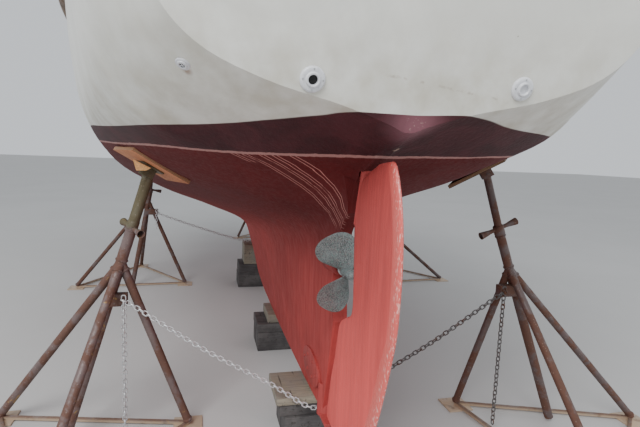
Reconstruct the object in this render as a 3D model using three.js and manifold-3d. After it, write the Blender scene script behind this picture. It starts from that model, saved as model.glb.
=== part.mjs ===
// Sailing yacht, laid up ashore on keel blocks and jack stands.
//
// Units are millimetres. In the model's own frame X runs forward, Y to port and Z up from the
// painted waterline, with X = 0 at the top of the rudder's trailing edge. The finished group is
// shifted so that its origin is the middle of the floor under the whole object.

import * as THREE from 'three';
import { mergeVertices } from 'three/addons/utils/BufferGeometryUtils.js';
import Module from 'manifold-3d';

// Driving dimensions
const FLOOR_Z = -1470;
const SEAT_GAP = 0.3;
const DECK_THICKNESS = 25;
const CAMBER = 0.045;
const RUDDER_HALF = 20;
const PROPELLER = { x: 442, z: -468, hub: 27, shaft: 17, blades: 3 };
const STOCK_RADIUS = 20;
const COCKPIT = { x0: 10, x1: 2400, halfWidth: 700, seatZ: 560, footHalf: 310, soleZ: 230 };
const COAMING = { thickness: 46, topZ: 1180 };
const CABIN = { x0: 2450, wall: 40, roof: 35, seatZ: 150, footHalf: 330, soleZ: -250 };
const COMPANIONWAY = { halfWidth: 290, sillZ: 640, x1: 3080 };
const MAST = { x: 5000, footZ: 1495, topZ: 12300, halfChord: 80, halfWidth: 55 };
const SPREADER = { z: 6700, length: 900 };
const BOOM = { pivotX: 4895, z: 2330, noseX: 4840, endX: 1050, halfHeight: 60, halfWidth: 45 };
const RAIL_TUBE = 12.5;
const GUARD_HEIGHT = 600;
const STAND_PIPE = 24;

// The keel's after edge, the rudder's axis and the transom all lean aft as they rise
const STERN_LEAN = -0.283;
const RUDDER_AXIS_X = 275;
const axisPoint = (z) => [RUDDER_AXIS_X + STERN_LEAN * z, 0, z];

const wasm = await Module();
wasm.setup();

const finish = (color, roughness, metalness = 0) => (
  new THREE.MeshStandardMaterial({ color, roughness, metalness })
);

const FINISH = {
  hull: finish(0xa8322c, 0.7),
  gelcoat: finish(0xd8d4c8, 0.4),
  wood: finish(0x8a5a33, 0.55),
  weatheredWood: finish(0x6e6258, 0.9),
  plywood: finish(0xa8652f, 0.8),
  bronze: finish(0x6f7768, 0.55, 0.6),
  stainless: finish(0xb9bcc0, 0.25, 1),
  alloy: finish(0xc9ccd0, 0.4, 0.9),
  rustySteel: finish(0x5a4038, 0.85, 0.4),
  galvanised: finish(0x9a9da0, 0.5, 0.9),
  glass: finish(0x27323a, 0.1),
  plastic: finish(0xe6e6e2, 0.4),
  castIron: finish(0x5d6a63, 0.6, 0.5),
};

const yacht = new THREE.Group();

function piece(name, geometry, material) {
  const mesh = new THREE.Mesh(geometry, material);
  mesh.name = name;
  yacht.add(mesh);
}

// Both sides, as [name ending, sign of Y]
const SIDES = [['port', 1], ['starboard', -1]];

// Joining and cutting

function toSolid(geometry) {
  const bare = geometry.clone();
  bare.deleteAttribute('normal');
  bare.deleteAttribute('uv');
  const welded = mergeVertices(bare, 1e-3);
  const vertProperties = Float32Array.from(welded.attributes.position.array);
  const triVerts = Uint32Array.from(welded.index.array);
  return new wasm.Manifold(new wasm.Mesh({ numProp: 3, vertProperties, triVerts }));
}

function toGeometry(solid) {
  const mesh = solid.getMesh();
  const geometry = new THREE.BufferGeometry();
  geometry.setAttribute('position', new THREE.BufferAttribute(mesh.vertProperties, 3));
  geometry.setIndex(new THREE.BufferAttribute(mesh.triVerts, 1));
  return geometry;
}

const join = (...parts) => toGeometry(parts.map(toSolid).reduce((whole, next) => whole.add(next)));

const cut = (body, ...cutters) => (
  toGeometry(cutters.map(toSolid).reduce((rest, next) => rest.subtract(next), toSolid(body)))
);

const moved = (geometry, x, y, z) => geometry.clone().translate(x, y, z);

// Simple shapes

function block([x0, x1], [y0, y1], [z0, z1]) {
  const box = new THREE.BoxGeometry(x1 - x0, y1 - y0, z1 - z0);
  return box.translate((x0 + x1) / 2, (y0 + y1) / 2, (z0 + z1) / 2);
}

// A shape built about the origin along +Z, turned to point along a direction and set at a place
function placeAlong(geometry, direction, [x, y, z]) {
  const turn = new THREE.Quaternion();
  turn.setFromUnitVectors(new THREE.Vector3(0, 0, 1), direction.clone().normalize());
  return geometry.applyQuaternion(turn).translate(x, y, z);
}

function bar(from, to, radius, sides = 6, endRadius = radius) {
  const start = new THREE.Vector3(...from);
  const along = new THREE.Vector3(...to).sub(start);
  const length = along.length();
  const rod = new THREE.CylinderGeometry(endRadius, radius, length, sides).rotateX(Math.PI / 2);
  return placeAlong(rod.translate(0, 0, length / 2), along, from);
}

function roundShape(radiusX, radiusY, sides) {
  const corners = Array.from({ length: sides }, (_, side) => {
    const angle = (2 * Math.PI * side) / sides;
    return new THREE.Vector2(radiusX * Math.cos(angle), radiusY * Math.sin(angle));
  });
  return new THREE.Shape(corners);
}

function pipe(points, radius, sides, steps) {
  const route = points.map((point) => new THREE.Vector3(...point));
  const extrudePath = new THREE.CatmullRomCurve3(route, false, 'centripetal');
  const options = { steps, extrudePath, bevelEnabled: false };
  return new THREE.ExtrudeGeometry(roundShape(radius, radius, sides), options);
}

// A flat outline of [x, z] corners, thick along Y about the centreline
function sidePlate(outline, halfThickness) {
  const shape = new THREE.Shape(outline.map(([x, z]) => new THREE.Vector2(x, z)));
  const plate = new THREE.ExtrudeGeometry(shape, { depth: 2 * halfThickness, bevelEnabled: false });
  return plate.translate(0, 0, -halfThickness).rotateX(Math.PI / 2);
}

// The two axes that show a ring's outline best: all but the one its plane faces most
function faceAxes(ring) {
  const area = [0, 1, 2].map((axis) => {
    const [u, v] = [(axis + 1) % 3, (axis + 2) % 3];
    return Math.abs(ring.reduce((sum, point, at) => {
      const next = ring[(at + 1) % ring.length];
      return sum + point[u] * next[v] - next[u] * point[v];
    }, 0));
  });
  const facing = area.indexOf(Math.max(...area));
  return [0, 1, 2].filter((axis) => axis !== facing);
}

// A closed skin over rings that hold the same number of points
function loft(rings) {
  const count = rings[0].length;
  const index = [];
  const after = (point) => (point + 1) % count;
  for (let base = 0; base < (rings.length - 1) * count; base += count) {
    for (let point = 0; point < count; point += 1) {
      const a = base + point;
      const b = base + after(point);
      index.push(a, b, a + count, b, b + count, a + count);
    }
  }
  for (const ring of [0, rings.length - 1]) {
    const [u, v] = faceAxes(rings[ring]);
    const outline = rings[ring].map((point) => new THREE.Vector2(point[u], point[v]));
    const faces = THREE.ShapeUtils.triangulateShape(outline, []);
    const inOrder = faces.some(([p, q, r]) => after(p) === q || after(q) === r || after(r) === p);
    const keepOrder = inOrder === (ring > 0);
    for (const [p, q, r] of faces) {
      const face = keepOrder ? [p, q, r] : [p, r, q];
      index.push(...face.map((point) => ring * count + point));
    }
  }
  const geometry = new THREE.BufferGeometry();
  geometry.setAttribute('position', new THREE.Float32BufferAttribute(rings.flat(2), 3));
  geometry.setIndex(index);
  return facingOut(geometry);
}

function facingOut(geometry) {
  const points = geometry.attributes.position;
  const corners = [0, 1, 2].map(() => new THREE.Vector3());
  const order = Array.from(geometry.index.array);
  let volume = 0;
  for (let at = 0; at < order.length; at += 3) {
    corners.forEach((corner, side) => corner.fromBufferAttribute(points, order[at + side]));
    volume += corners[0].dot(corners[1].clone().cross(corners[2]));
  }
  if (volume < 0) geometry.setIndex(order.reverse());
  return geometry;
}

// Reads one column of a table at x, smoothly and without overshooting the rows
function between(rows, column, x) {
  const above = rows.findIndex((row) => row[0] > x);
  const at = above < 0 ? rows.length - 2 : Math.max(above - 1, 0);
  const rise = (row) => {
    const [from, to] = [rows[row], rows[row + 1]];
    return (to[column] - from[column]) / (to[0] - from[0]);
  };
  const slope = (row) => {
    if (row === 0) return rise(0);
    if (row === rows.length - 1) return rise(row - 1);
    const [left, right] = [rise(row - 1), rise(row)];
    return left * right > 0 ? (2 * left * right) / (left + right) : 0;
  };
  const span = rows[at + 1][0] - rows[at][0];
  const t = (x - rows[at][0]) / span;
  const weight = t * t * (3 - 2 * t);
  const eased = rows[at][column] * (1 - weight) + rows[at + 1][column] * weight;
  return eased + t * (1 - t) * span * ((1 - t) * slope(at) - t * slope(at + 1));
}

// The hull's sections. Each row is one section plane: its X at the waterline, its lean (X per Z),
// then [Y, Z] pairs from the sheer down the port side to the keel's foot
const HULL = [
  // x, lean,
  //   sheer, topside, quarter, bilge,
  //   floor, inner floor, garboard, keel side, keel foot
  [-28, -0.306,
    790, 1000, 735, 560, 692, 360, 600, 262,
    430, 190, 200, 135, 60, 92, 22, 76, 12, 73],
  [200, -0.295,
    915, 990, 896, 520, 820, 290, 704, 160,
    470, 65, 240, 18, 80, -10, 26, -22, 20, -30],
  [318, -0.285,
    962, 986, 934, 500, 868, 240, 746, 98,
    530, 10, 300, -35, 85, -70, 26, -88, 22, -97],
  [330, -0.283,
    965, 986, 939, 498, 874, 236, 753, 91,
    534, 5, 298, -42, 55, -130, 32, -650, 22, -1195],
  [800, -0.26,
    1085, 980, 1060, 450, 1000, 160, 900, 45,
    650, -105, 350, -212, 85, -345, 48, -700, 30, -1200],
  [1600, -0.15,
    1285, 975, 1252, 450, 1195, 150, 1095, -15,
    800, -185, 450, -320, 160, -470, 85, -800, 36, -1200],
  [2500, -0.05,
    1502, 975, 1480, 600, 1410, 240, 1228, -75,
    880, -290, 480, -440, 195, -590, 95, -850, 33, -1200],
  [3200, 0,
    1592, 980, 1580, 600, 1500, 200, 1290, -130,
    900, -350, 500, -500, 190, -640, 95, -880, 26, -1175],
  [3700, 0.02,
    1610, 985, 1597, 600, 1508, 200, 1294, -136,
    897, -360, 492, -512, 185, -640, 85, -820, 20, -1030],
  [4200, 0.05,
    1615, 995, 1600, 600, 1510, 200, 1290, -140,
    890, -370, 480, -520, 180, -620, 75, -720, 18, -800],
  [5200, 0.2,
    1530, 1018, 1490, 600, 1370, 200, 1110, -140,
    740, -360, 400, -480, 165, -570, 70, -640, 18, -690],
  [6200, 0.4,
    1300, 1058, 1220, 620, 1040, 200, 780, -120,
    500, -310, 270, -430, 125, -500, 60, -550, 20, -590],
  [7000, 0.7,
    960, 1114, 830, 650, 640, 220, 430, -80,
    260, -230, 140, -310, 75, -355, 45, -390, 22, -410],
  [7500, 0.95,
    560, 1175, 430, 700, 270, 250, 150, 20,
    90, -60, 55, -95, 38, -115, 28, -130, 18, -140],
  [7720, 0.95,
    30, 1210, 27, 720, 24, 300, 22, 100,
    20, 30, 18, 10, 17, 0, 16, -8, 14, -14],
];
const HULL_STATIONS = [
  -28, 60, 130, 200, 260, 318, 330, 430, 550, 680, 800, 1000, 1300, 1600, 1950, 2300, 2700, 3200,
  3700, 4200, 4700, 5200, 5700, 6200, 6600, 7000, 7300, 7500, 7620, 7720,
];
const STEPS_PER_PAIR = 2;
const RUB_RAIL_DEPTH = 48;
const DECK_STEPS = 6;

function section(x) {
  const [lean, ...flat] = HULL[0].slice(1).map((_, column) => between(HULL, column + 1, x));
  const pairs = [];
  for (let at = 0; at < flat.length; at += 2) pairs.push([flat[at], flat[at + 1]]);
  return { x, lean, pairs };
}

// A point on the deck's line at a section: fraction runs from -1 (starboard edge) to 1 (port edge)
function deckPoint(x, fraction, lift = 0) {
  const { lean, pairs } = section(x);
  const [halfBeam, sheerZ] = pairs[0];
  const z = sheerZ + CAMBER * halfBeam * (1 - fraction * fraction);
  return [x + lean * z, fraction * halfBeam, z + lift];
}

const DECK_FRACTIONS = Array.from({ length: DECK_STEPS + 1 }, (_, step) => (2 * step) / DECK_STEPS - 1);

function hullRing(x) {
  const { lean, pairs } = section(x);
  const corners = pairs.map(([y, z]) => new THREE.Vector3(0, y, z));
  const curve = new THREE.CatmullRomCurve3(corners, false, 'centripetal');
  const points = curve.getPoints((pairs.length - 1) * STEPS_PER_PAIR);
  const side = points.map(({ y, z }) => [x + lean * z, y, z]);
  const share = RUB_RAIL_DEPTH / (side[0][2] - side[1][2]);
  side.splice(1, 0, side[0].map((value, axis) => value + (side[1][axis] - value) * share));
  const otherSide = side.map(([px, y, z]) => [px, -y, z]).reverse();
  const deckLine = DECK_FRACTIONS.slice(1, -1).map((fraction) => deckPoint(x, fraction));
  return [...side, ...otherSide, ...deckLine];
}

// The space between two heights above the hull's deck line, or down to a level floor
function deckLayer(lowLift, highLift, floorZ = null) {
  const rings = HULL_STATIONS.map((x) => {
    const top = DECK_FRACTIONS.map((fraction) => deckPoint(x, fraction, highLift));
    const under = DECK_FRACTIONS.map((fraction) => deckPoint(x, fraction, lowLift));
    if (floorZ !== null) under.forEach((point) => { point[2] = floorZ; });
    return [...top, ...under.reverse()];
  });
  return loft(rings);
}

const belowDeckTop = deckLayer(0, DECK_THICKNESS + 2 * SEAT_GAP, 150);
const seatOnDeck = (geometry) => cut(geometry, belowDeckTop);
const deckTopPoint = (x, fraction) => deckPoint(x, fraction, DECK_THICKNESS + SEAT_GAP);

// The cabin trunk. Each row: x, half-width at the deck, half-width at the roof's edge,
// the roof edge's Z, the roof's rise to the centreline
const TRUNK = [
  [2450, 930, 810, 1400, 75],
  [4200, 900, 780, 1425, 70],
  [5400, 760, 650, 1400, 60],
  [6100, 600, 520, 1370, 45],
];
const TRUNK_STATIONS = [2450, 3300, 4200, 4800, 5400, 5800, 6100];
const TRUNK_FORE_LEAN = -0.7;
const TRUNK_BASE_Z = 1000;

function trunk(inset, drop, aftX, floorZ) {
  const rings = TRUNK_STATIONS.map((station, at) => {
    const isFore = at === TRUNK_STATIONS.length - 1;
    const foreInset = isFore ? 1.5 * inset : 0;
    const x = at === 0 ? aftX : station - foreInset;
    const [base, edge, edgeZ, rise] = [1, 2, 3, 4].map((column) => between(TRUNK, column, station));
    const lean = isFore ? TRUNK_FORE_LEAN : 0;
    const outline = [
      [base - inset + (TRUNK_BASE_Z - floorZ) * 0.1, floorZ],
      [base - inset, TRUNK_BASE_Z],
      [edge - inset, edgeZ - 40],
      [edge - inset - 45, edgeZ - drop],
      [edge * 0.5, edgeZ - drop + rise * 0.75],
      [0, edgeZ - drop + rise],
    ];
    const starboard = outline.slice(0, -1).reverse().map(([y, z]) => [-y, z]);
    return [...outline, ...starboard].map(([y, z]) => [x + lean * Math.max(z - TRUNK_BASE_Z, 0), y, z]);
  });
  return loft(rings);
}

const cabinSpace = trunk(CABIN.wall, CABIN.roof, CABIN.x0 + CABIN.wall, CABIN.seatZ);
const companionOpening = block(
  [COCKPIT.x1 - 20, CABIN.x0 + CABIN.wall + 10],
  [-COMPANIONWAY.halfWidth, COMPANIONWAY.halfWidth],
  [COMPANIONWAY.sillZ, 1700],
);

// Hull with its cockpit, lockers, cabin space, engine space, propeller aperture and stock tube

const APERTURE = [
  [200, -205], [372, -214], [475, -282], [532, -380], [554, -470], [556, -560], [546, -640],
  [525, -705], [500, -745], [300, -745],
];
const LOCKER = { x0: 1340, x1: 2140, y0: 375, y1: 620, depth: 260 };
const ENGINE_SPACE = { x0: 1650, halfWidth: 290, z0: -270, z1: 180 };

const mirrored = ([y0, y1], sign) => (sign > 0 ? [y0, y1] : [-y1, -y0]);

function makeHull() {
  const body = loft(HULL_STATIONS.map(hullRing));
  const boss = bar([PROPELLER.x + 75, 0, PROPELLER.z], [PROPELLER.x + 230, 0, PROPELLER.z], 38, 12, 52);
  const withAperture = join(cut(body, sidePlate(APERTURE, 200)), boss);
  const { x0, x1, halfWidth, seatZ, footHalf, soleZ } = COCKPIT;
  const lockers = SIDES.map(([, sign]) => (
    block([LOCKER.x0, LOCKER.x1], mirrored([LOCKER.y0, LOCKER.y1], sign), [seatZ - LOCKER.depth, seatZ + 1])
  ));
  return cut(
    withAperture,
    block([x0, x1], [-halfWidth, halfWidth], [seatZ, 1400]),
    block([x0 + 60, x1 - 200], [-footHalf, footHalf], [soleZ, seatZ + 1]),
    ...lockers,
    cabinSpace,
    companionOpening,
    block([CABIN.x0 + CABIN.wall, 5500], [-CABIN.footHalf, CABIN.footHalf], [CABIN.soleZ, CABIN.seatZ + 1]),
    block(
      [ENGINE_SPACE.x0, CABIN.x0 + CABIN.wall + 1],
      [-ENGINE_SPACE.halfWidth, ENGINE_SPACE.halfWidth],
      [ENGINE_SPACE.z0, ENGINE_SPACE.z1],
    ),
    bar(axisPoint(-300), axisPoint(300), STOCK_RADIUS + 6, 12),
    bar([PROPELLER.x + 50, 0, PROPELLER.z], [PROPELLER.x + 205, 0, PROPELLER.z], PROPELLER.shaft + 0.5, 20),
  );
}

const hull = makeHull();
piece('hull', hull, FINISH.hull);

function makeDeck() {
  const plate = deckLayer(SEAT_GAP, DECK_THICKNESS);
  return cut(
    plate,
    block([COCKPIT.x0, COCKPIT.x1], [-COCKPIT.halfWidth, COCKPIT.halfWidth], [800, 1400]),
    cabinSpace,
    companionOpening,
  );
}

// Cabin trunk with windows, the hatch's runners, the fore hatch's frame and the mast's pad

const WINDOW = { x0: 2900, x1: 4350, z0: 1150, z1: 1310 };
const RUNNER = { y0: 300, y1: 330, x1: 3800, topZ: 1520 };
const FORE_HATCH = { x0: 5330, x1: 5870, halfWidth: 270, frame: 40, topZ: 1490 };

function windowOutline(inset) {
  const { x0, x1, z0, z1 } = WINDOW;
  const slope = 40;
  return [
    [x0 + inset, z0 + inset], [x1 - inset, z0 + inset + 30],
    [x1 - slope - inset, z1 - inset], [x0 + slope + inset, z1 - inset],
  ];
}

function makeTrunk() {
  const shell = cut(trunk(0, 0, CABIN.x0, 700), cabinSpace, belowDeckTop);
  const runners = SIDES.map(([, sign]) => (
    block([CABIN.x0 + 5, RUNNER.x1], mirrored([RUNNER.y0, RUNNER.y1], sign), [1400, RUNNER.topZ])
  ));
  const { x0, x1, halfWidth, frame, topZ } = FORE_HATCH;
  const whole = join(
    shell,
    ...runners,
    block([COMPANIONWAY.x1, COMPANIONWAY.x1 + 30], [-RUNNER.y1, RUNNER.y1], [1420, RUNNER.topZ - 6]),
    block([x0, x1], [-halfWidth, halfWidth], [1360, topZ]),
    block([MAST.x - 130, MAST.x + 130], [-110, 110], [1440, MAST.footZ]),
  );
  return cut(
    whole,
    sidePlate(windowOutline(0), 1200),
    companionOpening,
    block([CABIN.x0 - 10, COMPANIONWAY.x1], [-COMPANIONWAY.halfWidth, COMPANIONWAY.halfWidth], [1300, 1700]),
    block([x0 + frame, x1 - frame], [-halfWidth + frame, halfWidth - frame], [1200, 1700]),
    cabinSpace,
  );
}
const cabinTrunk = makeTrunk();
piece('cabin_trunk', cabinTrunk, FINISH.gelcoat);

// Each pane follows the trunk's side: the trunk's wall, thinned to a sheet, inside the window's outline
function makePane(sign) {
  const outer = toSolid(trunk(10, 5, CABIN.x0, 700));
  const inner = toSolid(trunk(18, 5, CABIN.x0, 700));
  const opening = toSolid(sidePlate(windowOutline(SEAT_GAP), 1200));
  const half = toSolid(block([2000, 7000], mirrored([300, 1300], sign), [900, 1500]));
  return toGeometry(outer.subtract(inner).intersect(opening).intersect(half));
}
for (const [side, sign] of SIDES) piece(`cabin_window_${side}`, makePane(sign), FINISH.glass);

// Rails along the sheer. Each corner is [distance outward, distance up] from the deck's edge

const RAIL_STATIONS = HULL_STATIONS.filter((x) => x <= 7500);
const RUB_RAIL = [[1.2, 0], [1.2, 18], [34, 8], [38, -0.7 * RUB_RAIL_DEPTH], [1.2, -RUB_RAIL_DEPTH]];
const TOE_RAIL = [[-8, 0], [-8, 40], [-30, 40], [-34, 0]];

// Below the edge a corner follows the hull's side, and inboard of it the deck
function rubRailRing(x, sign) {
  const [edge, below] = hullRing(x);
  const corners = sign > 0 ? [...RUB_RAIL].reverse() : RUB_RAIL;
  return corners.map(([out, up]) => {
    const share = Math.max(-up, 0) / RUB_RAIL_DEPTH;
    const [px, y, z] = edge.map((value, axis) => value + (below[axis] - value) * share);
    return [px, sign * (y + out), z + Math.max(up, 0)];
  });
}

function toeRailRing(x, sign) {
  const edge = deckTopPoint(x, 1);
  const inner = deckTopPoint(x, DECK_FRACTIONS.at(-2));
  return TOE_RAIL.map(([out, up]) => {
    const share = -out / (edge[1] - inner[1]);
    const [px, y, z] = edge.map((value, axis) => value + (inner[axis] - value) * share);
    return [px, sign * y, z + SEAT_GAP + up];
  });
}

const deckPlate = makeDeck();
piece('deck', deckPlate, FINISH.gelcoat);
for (const [side, sign] of SIDES) {
  piece(`rub_rail_${side}`, loft(RAIL_STATIONS.map((x) => rubRailRing(x, sign))), FINISH.wood);
  piece(`toe_rail_${side}`, loft(RAIL_STATIONS.slice(1).map((x) => toeRailRing(x, sign))), FINISH.wood);
}

// Cockpit coaming with a pad for each winch, the winches, washboards, lids and hatches

const WINCH = { x: 1000, y: 765, radius: 58 };

function makeCoaming() {
  const { x0, halfWidth } = COCKPIT;
  const inner = halfWidth + 4;
  const outer = inner + COAMING.thickness;
  const ring = cut(
    block([x0 - 2 - COAMING.thickness, CABIN.x0 - 1], [-outer, outer], [850, COAMING.topZ]),
    block([x0 - 2, CABIN.x0 + 50], [-inner, inner], [700, COAMING.topZ + 50]),
  );
  const pads = SIDES.map(([, sign]) => (
    block([WINCH.x - 80, WINCH.x + 80], mirrored([inner, WINCH.y + 75], sign), [850, COAMING.topZ])
  ));
  return seatOnDeck(join(ring, ...pads));
}
piece('cockpit_coaming', makeCoaming(), FINISH.wood);

function makeWinch(sign) {
  const profile = [[0, 0], [58, 0], [58, 18], [34, 40], [30, 75], [38, 92], [38, 104], [0, 108]];
  const drum = new THREE.LatheGeometry(profile.map(([r, z]) => new THREE.Vector2(r, z)), 12);
  return drum.rotateX(Math.PI / 2).translate(WINCH.x, sign * WINCH.y, COAMING.topZ + SEAT_GAP);
}
for (const [side, sign] of SIDES) piece(`winch_${side}`, makeWinch(sign), FINISH.stainless);

piece('washboards', block(
  [CABIN.x0 + 5, CABIN.x0 + 30],
  [-COMPANIONWAY.halfWidth + 1, COMPANIONWAY.halfWidth - 1],
  [COMPANIONWAY.sillZ + SEAT_GAP, 1512],
), FINISH.wood);

const SLIDING_HATCH = { x0: 2420, x1: 3115, halfWidth: 345, z0: RUNNER.topZ + SEAT_GAP, thickness: 30 };
piece('sliding_hatch', block(
  [SLIDING_HATCH.x0, SLIDING_HATCH.x1],
  [-SLIDING_HATCH.halfWidth, SLIDING_HATCH.halfWidth],
  [SLIDING_HATCH.z0, SLIDING_HATCH.z0 + SLIDING_HATCH.thickness],
), FINISH.gelcoat);

piece('fore_hatch', block(
  [FORE_HATCH.x0 - 5, FORE_HATCH.x1 + 5],
  [-FORE_HATCH.halfWidth - 5, FORE_HATCH.halfWidth + 5],
  [FORE_HATCH.topZ + SEAT_GAP, FORE_HATCH.topZ + 30],
), FINISH.glass);

const LID = { x0: 1310, x1: 2170, y0: 345, y1: 650, thickness: 18 };
for (const [side, sign] of SIDES) {
  piece(`cockpit_lid_${side}`, block(
    [LID.x0, LID.x1],
    mirrored([LID.y0, LID.y1], sign),
    [COCKPIT.seatZ + SEAT_GAP, COCKPIT.seatZ + LID.thickness],
  ), FINISH.wood);
}

const ENGINE = { x0: 1750, x1: 2350, halfWidth: 220, height: 400 };
piece('engine', block(
  [ENGINE.x0, ENGINE.x1],
  [-ENGINE.halfWidth, ENGINE.halfWidth],
  [ENGINE_SPACE.z0 + SEAT_GAP, ENGINE_SPACE.z0 + ENGINE.height],
), FINISH.castIron);

// Rudder: level sections, each [leading edge X, Z, trailing edge X, Z, half thickness]

const RUDDER = [
  [150, -24, 45, -12, 10],
  [318, -98, 30, -18, 17],
  [356, -165, -2, -65, RUDDER_HALF],
  [369, -238, -40, -160, RUDDER_HALF],
  [361, -340, -62, -290, RUDDER_HALF],
  [347, -480, -63, -440, RUDDER_HALF],
  [349, -605, -51, -560, RUDDER_HALF],
  [424, -650, -33, -628, RUDDER_HALF],
  [502, -700, -15, -690, RUDDER_HALF],
  [530, -780, 15, -780, RUDDER_HALF],
  [556, -880, 55, -885, RUDDER_HALF],
  [588, -965, 97, -968, RUDDER_HALF],
  [612, -1060, 145, -1065, RUDDER_HALF],
  [630, -1140, 205, -1145, RUDDER_HALF],
  [638, -1185, 255, -1190, RUDDER_HALF - 3],
];
// Along the chord from the leading edge (0) to the trailing edge (1), with the share of the thickness
const FOIL = [[0.012, 0.42], [0.05, 0.8], [0.2, 1], [0.55, 0.92], [0.85, 0.62], [0.975, 0.4]];
const HEEL_PIN = { radius: 9, top: -1160 };

function makeRudder() {
  const rings = RUDDER.map(([noseX, noseZ, tailX, tailZ, half]) => {
    const side = FOIL.map(([chord, share]) => [
      noseX + (tailX - noseX) * chord, half * share, noseZ + (tailZ - noseZ) * chord,
    ]);
    const otherSide = side.map(([x, y, z]) => [x, -y, z]).reverse();
    return [[noseX, 0, noseZ], ...side, [tailX, 0, tailZ], ...otherSide];
  });
  const blade = loft(rings);
  const stock = bar(axisPoint(-255), axisPoint(700), STOCK_RADIUS, 16);
  const head = bar(axisPoint(600), axisPoint(690), STOCK_RADIUS + 16, 16);
  const pinHole = bar(axisPoint(-1230), axisPoint(HEEL_PIN.top + 5), HEEL_PIN.radius + 0.6, 12);
  return cut(join(blade, stock, head), pinHole);
}
piece('rudder', makeRudder(), FINISH.hull);

function makeTiller() {
  const route = [[127, 0, 657], [400, 0, 735], [750, 0, 850], [1180, 0, 965]];
  return pipe(route, 19, 8, 12);
}
piece('tiller', makeTiller(), FINISH.wood);

// Heel fitting: a rounded strap on each side of the keel, the boss on the keel's after corner, and the
// tongue with the rudder's lower pin

const HEEL = {
  x: 872, z: -1060, halfLength: 165, halfHeight: 82, halfWidth: 40, bossX: 696, bossRadius: 38, bottom: -1216,
};

function makeHeelFitting() {
  const oval = new THREE.ExtrudeGeometry(
    roundShape(HEEL.halfLength, HEEL.halfHeight, 20),
    { depth: 2 * HEEL.halfWidth, bevelEnabled: false },
  );
  const straps = oval.translate(0, 0, -HEEL.halfWidth).rotateX(Math.PI / 2).translate(HEEL.x, 0, HEEL.z);
  const { bossX, bossRadius } = HEEL;
  const boss = bar([bossX, 0, HEEL.bottom], [bossX, 0, HEEL.z], bossRadius + 4, 14, bossRadius);
  const tongue = block([575, bossX], [-34, 34], [HEEL.bottom, -1201.5]);
  const pin = bar(axisPoint(-1210), axisPoint(HEEL_PIN.top), HEEL_PIN.radius, 12);
  const shifts = [[0, 1], [0, -1], [-1, 0]];
  const keel = shifts.map(([y, z]) => moved(hull, 0, y * SEAT_GAP, z * SEAT_GAP));
  keel.push(moved(hull, 0, -SEAT_GAP, 0));
  return join(cut(join(straps, boss), ...keel), tongue, pin);
}
piece('rudder_heel_fitting', makeHeelFitting(), FINISH.bronze);

// Propeller with its shaft: a blade's rows are [radius, half chord, pitch angle in degrees, half thickness]

const BLADE = [
  [15, 30, 56, 7],
  [50, 50, 40, 6],
  [92, 76, 29, 5],
  [130, 79, 23, 4],
  [158, 62, 18, 3],
  [175, 28, 15, 2],
];
const BLADE_START = 210;

function makeBlade(turn) {
  const rings = BLADE.map(([radius, halfChord, pitch, halfThickness]) => {
    const angle = THREE.MathUtils.degToRad(pitch);
    const corners = [[-1, 0], [-0.5, 0.9], [0.5, 0.9], [1, 0], [0.5, -0.9], [-0.5, -0.9]];
    return corners.map(([across, thick]) => {
      const chord = across * halfChord;
      const depth = thick * halfThickness;
      const x = chord * Math.sin(angle) + depth * Math.cos(angle);
      const y = chord * Math.cos(angle) - depth * Math.sin(angle);
      return [x, y, radius];
    });
  });
  const blade = loft(rings);
  return blade.rotateX(turn).translate(PROPELLER.x, 0, PROPELLER.z);
}

function makePropeller() {
  const { x, z, hub, shaft, blades } = PROPELLER;
  const turns = Array.from({ length: blades }, (_, at) => (
    THREE.MathUtils.degToRad(BLADE_START + (360 * at) / blades)
  ));
  return join(
    bar([x - 34, 0, z], [x + 42, 0, z], hub - 5, 14, hub),
    bar([x - 52, 0, z], [x - 32, 0, z], 9, 14, 20),
    bar([x + 40, 0, z], [x + 200, 0, z], shaft, 20),
    ...turns.map(makeBlade),
  );
}
piece('propeller', makePropeller(), FINISH.bronze);

// Outlets on the transom, and the small vent on the port quarter

const TRANSOM_NORMAL = new THREE.Vector3(-1, 0, -0.306);
const OUTLET = { flange: 35, bore: 13, height: 12 };
const VENT = { flange: 21, bore: 8, height: 8, x: -14, y: 630 };

function makeOutlet({ flange, bore, height }, normal, place) {
  const profile = [
    [bore, 0], [flange, 0], [flange, height * 0.5], [flange - 6, height], [bore + 3, height], [bore, 0],
  ];
  const ring = new THREE.LatheGeometry(profile.map(([r, h]) => new THREE.Vector2(r, h)), 20);
  return placeAlong(ring.rotateX(Math.PI / 2), normal, place);
}

const onTransom = (y, z) => [-28 - 0.306 * z - SEAT_GAP - 0.2, y, z];
piece('transom_outlet_port', makeOutlet(OUTLET, TRANSOM_NORMAL, onTransom(300, 197)), FINISH.plastic);
piece('transom_outlet_starboard', makeOutlet(OUTLET, TRANSOM_NORMAL, onTransom(-332, 216)), FINISH.plastic);

const hullMesh = new THREE.Mesh(hull, FINISH.hull);

// Where a line first meets the hull, with the hull's slope there
function hullHit(from, direction) {
  const [{ point, face }] = new THREE.Raycaster(from, direction).intersectObject(hullMesh);
  return { point, normal: face.normal };
}

const ventSeat = hullHit(new THREE.Vector3(VENT.x, VENT.y, FLOOR_Z), new THREE.Vector3(0, 0, 1));
const ventPlace = ventSeat.point.clone().addScaledVector(ventSeat.normal, 2 * SEAT_GAP);
piece('quarter_vent', makeOutlet(VENT, ventSeat.normal, ventPlace.toArray()), FINISH.plastic);

// Pulpit, pushpit and lifelines

const guardTop = (x, fraction, height = GUARD_HEIGHT) => {
  const [px, py, pz] = deckTopPoint(x, fraction);
  return [px, py, pz + height];
};

function leg(x, fraction, height = GUARD_HEIGHT) {
  const [px, py, pz] = deckTopPoint(x, fraction);
  return join(
    bar([px, py, pz - 30], [px, py, pz + height], RAIL_TUBE),
    bar([px, py, pz - 30], [px, py, pz + 12], 34, 8),
  );
}

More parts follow.
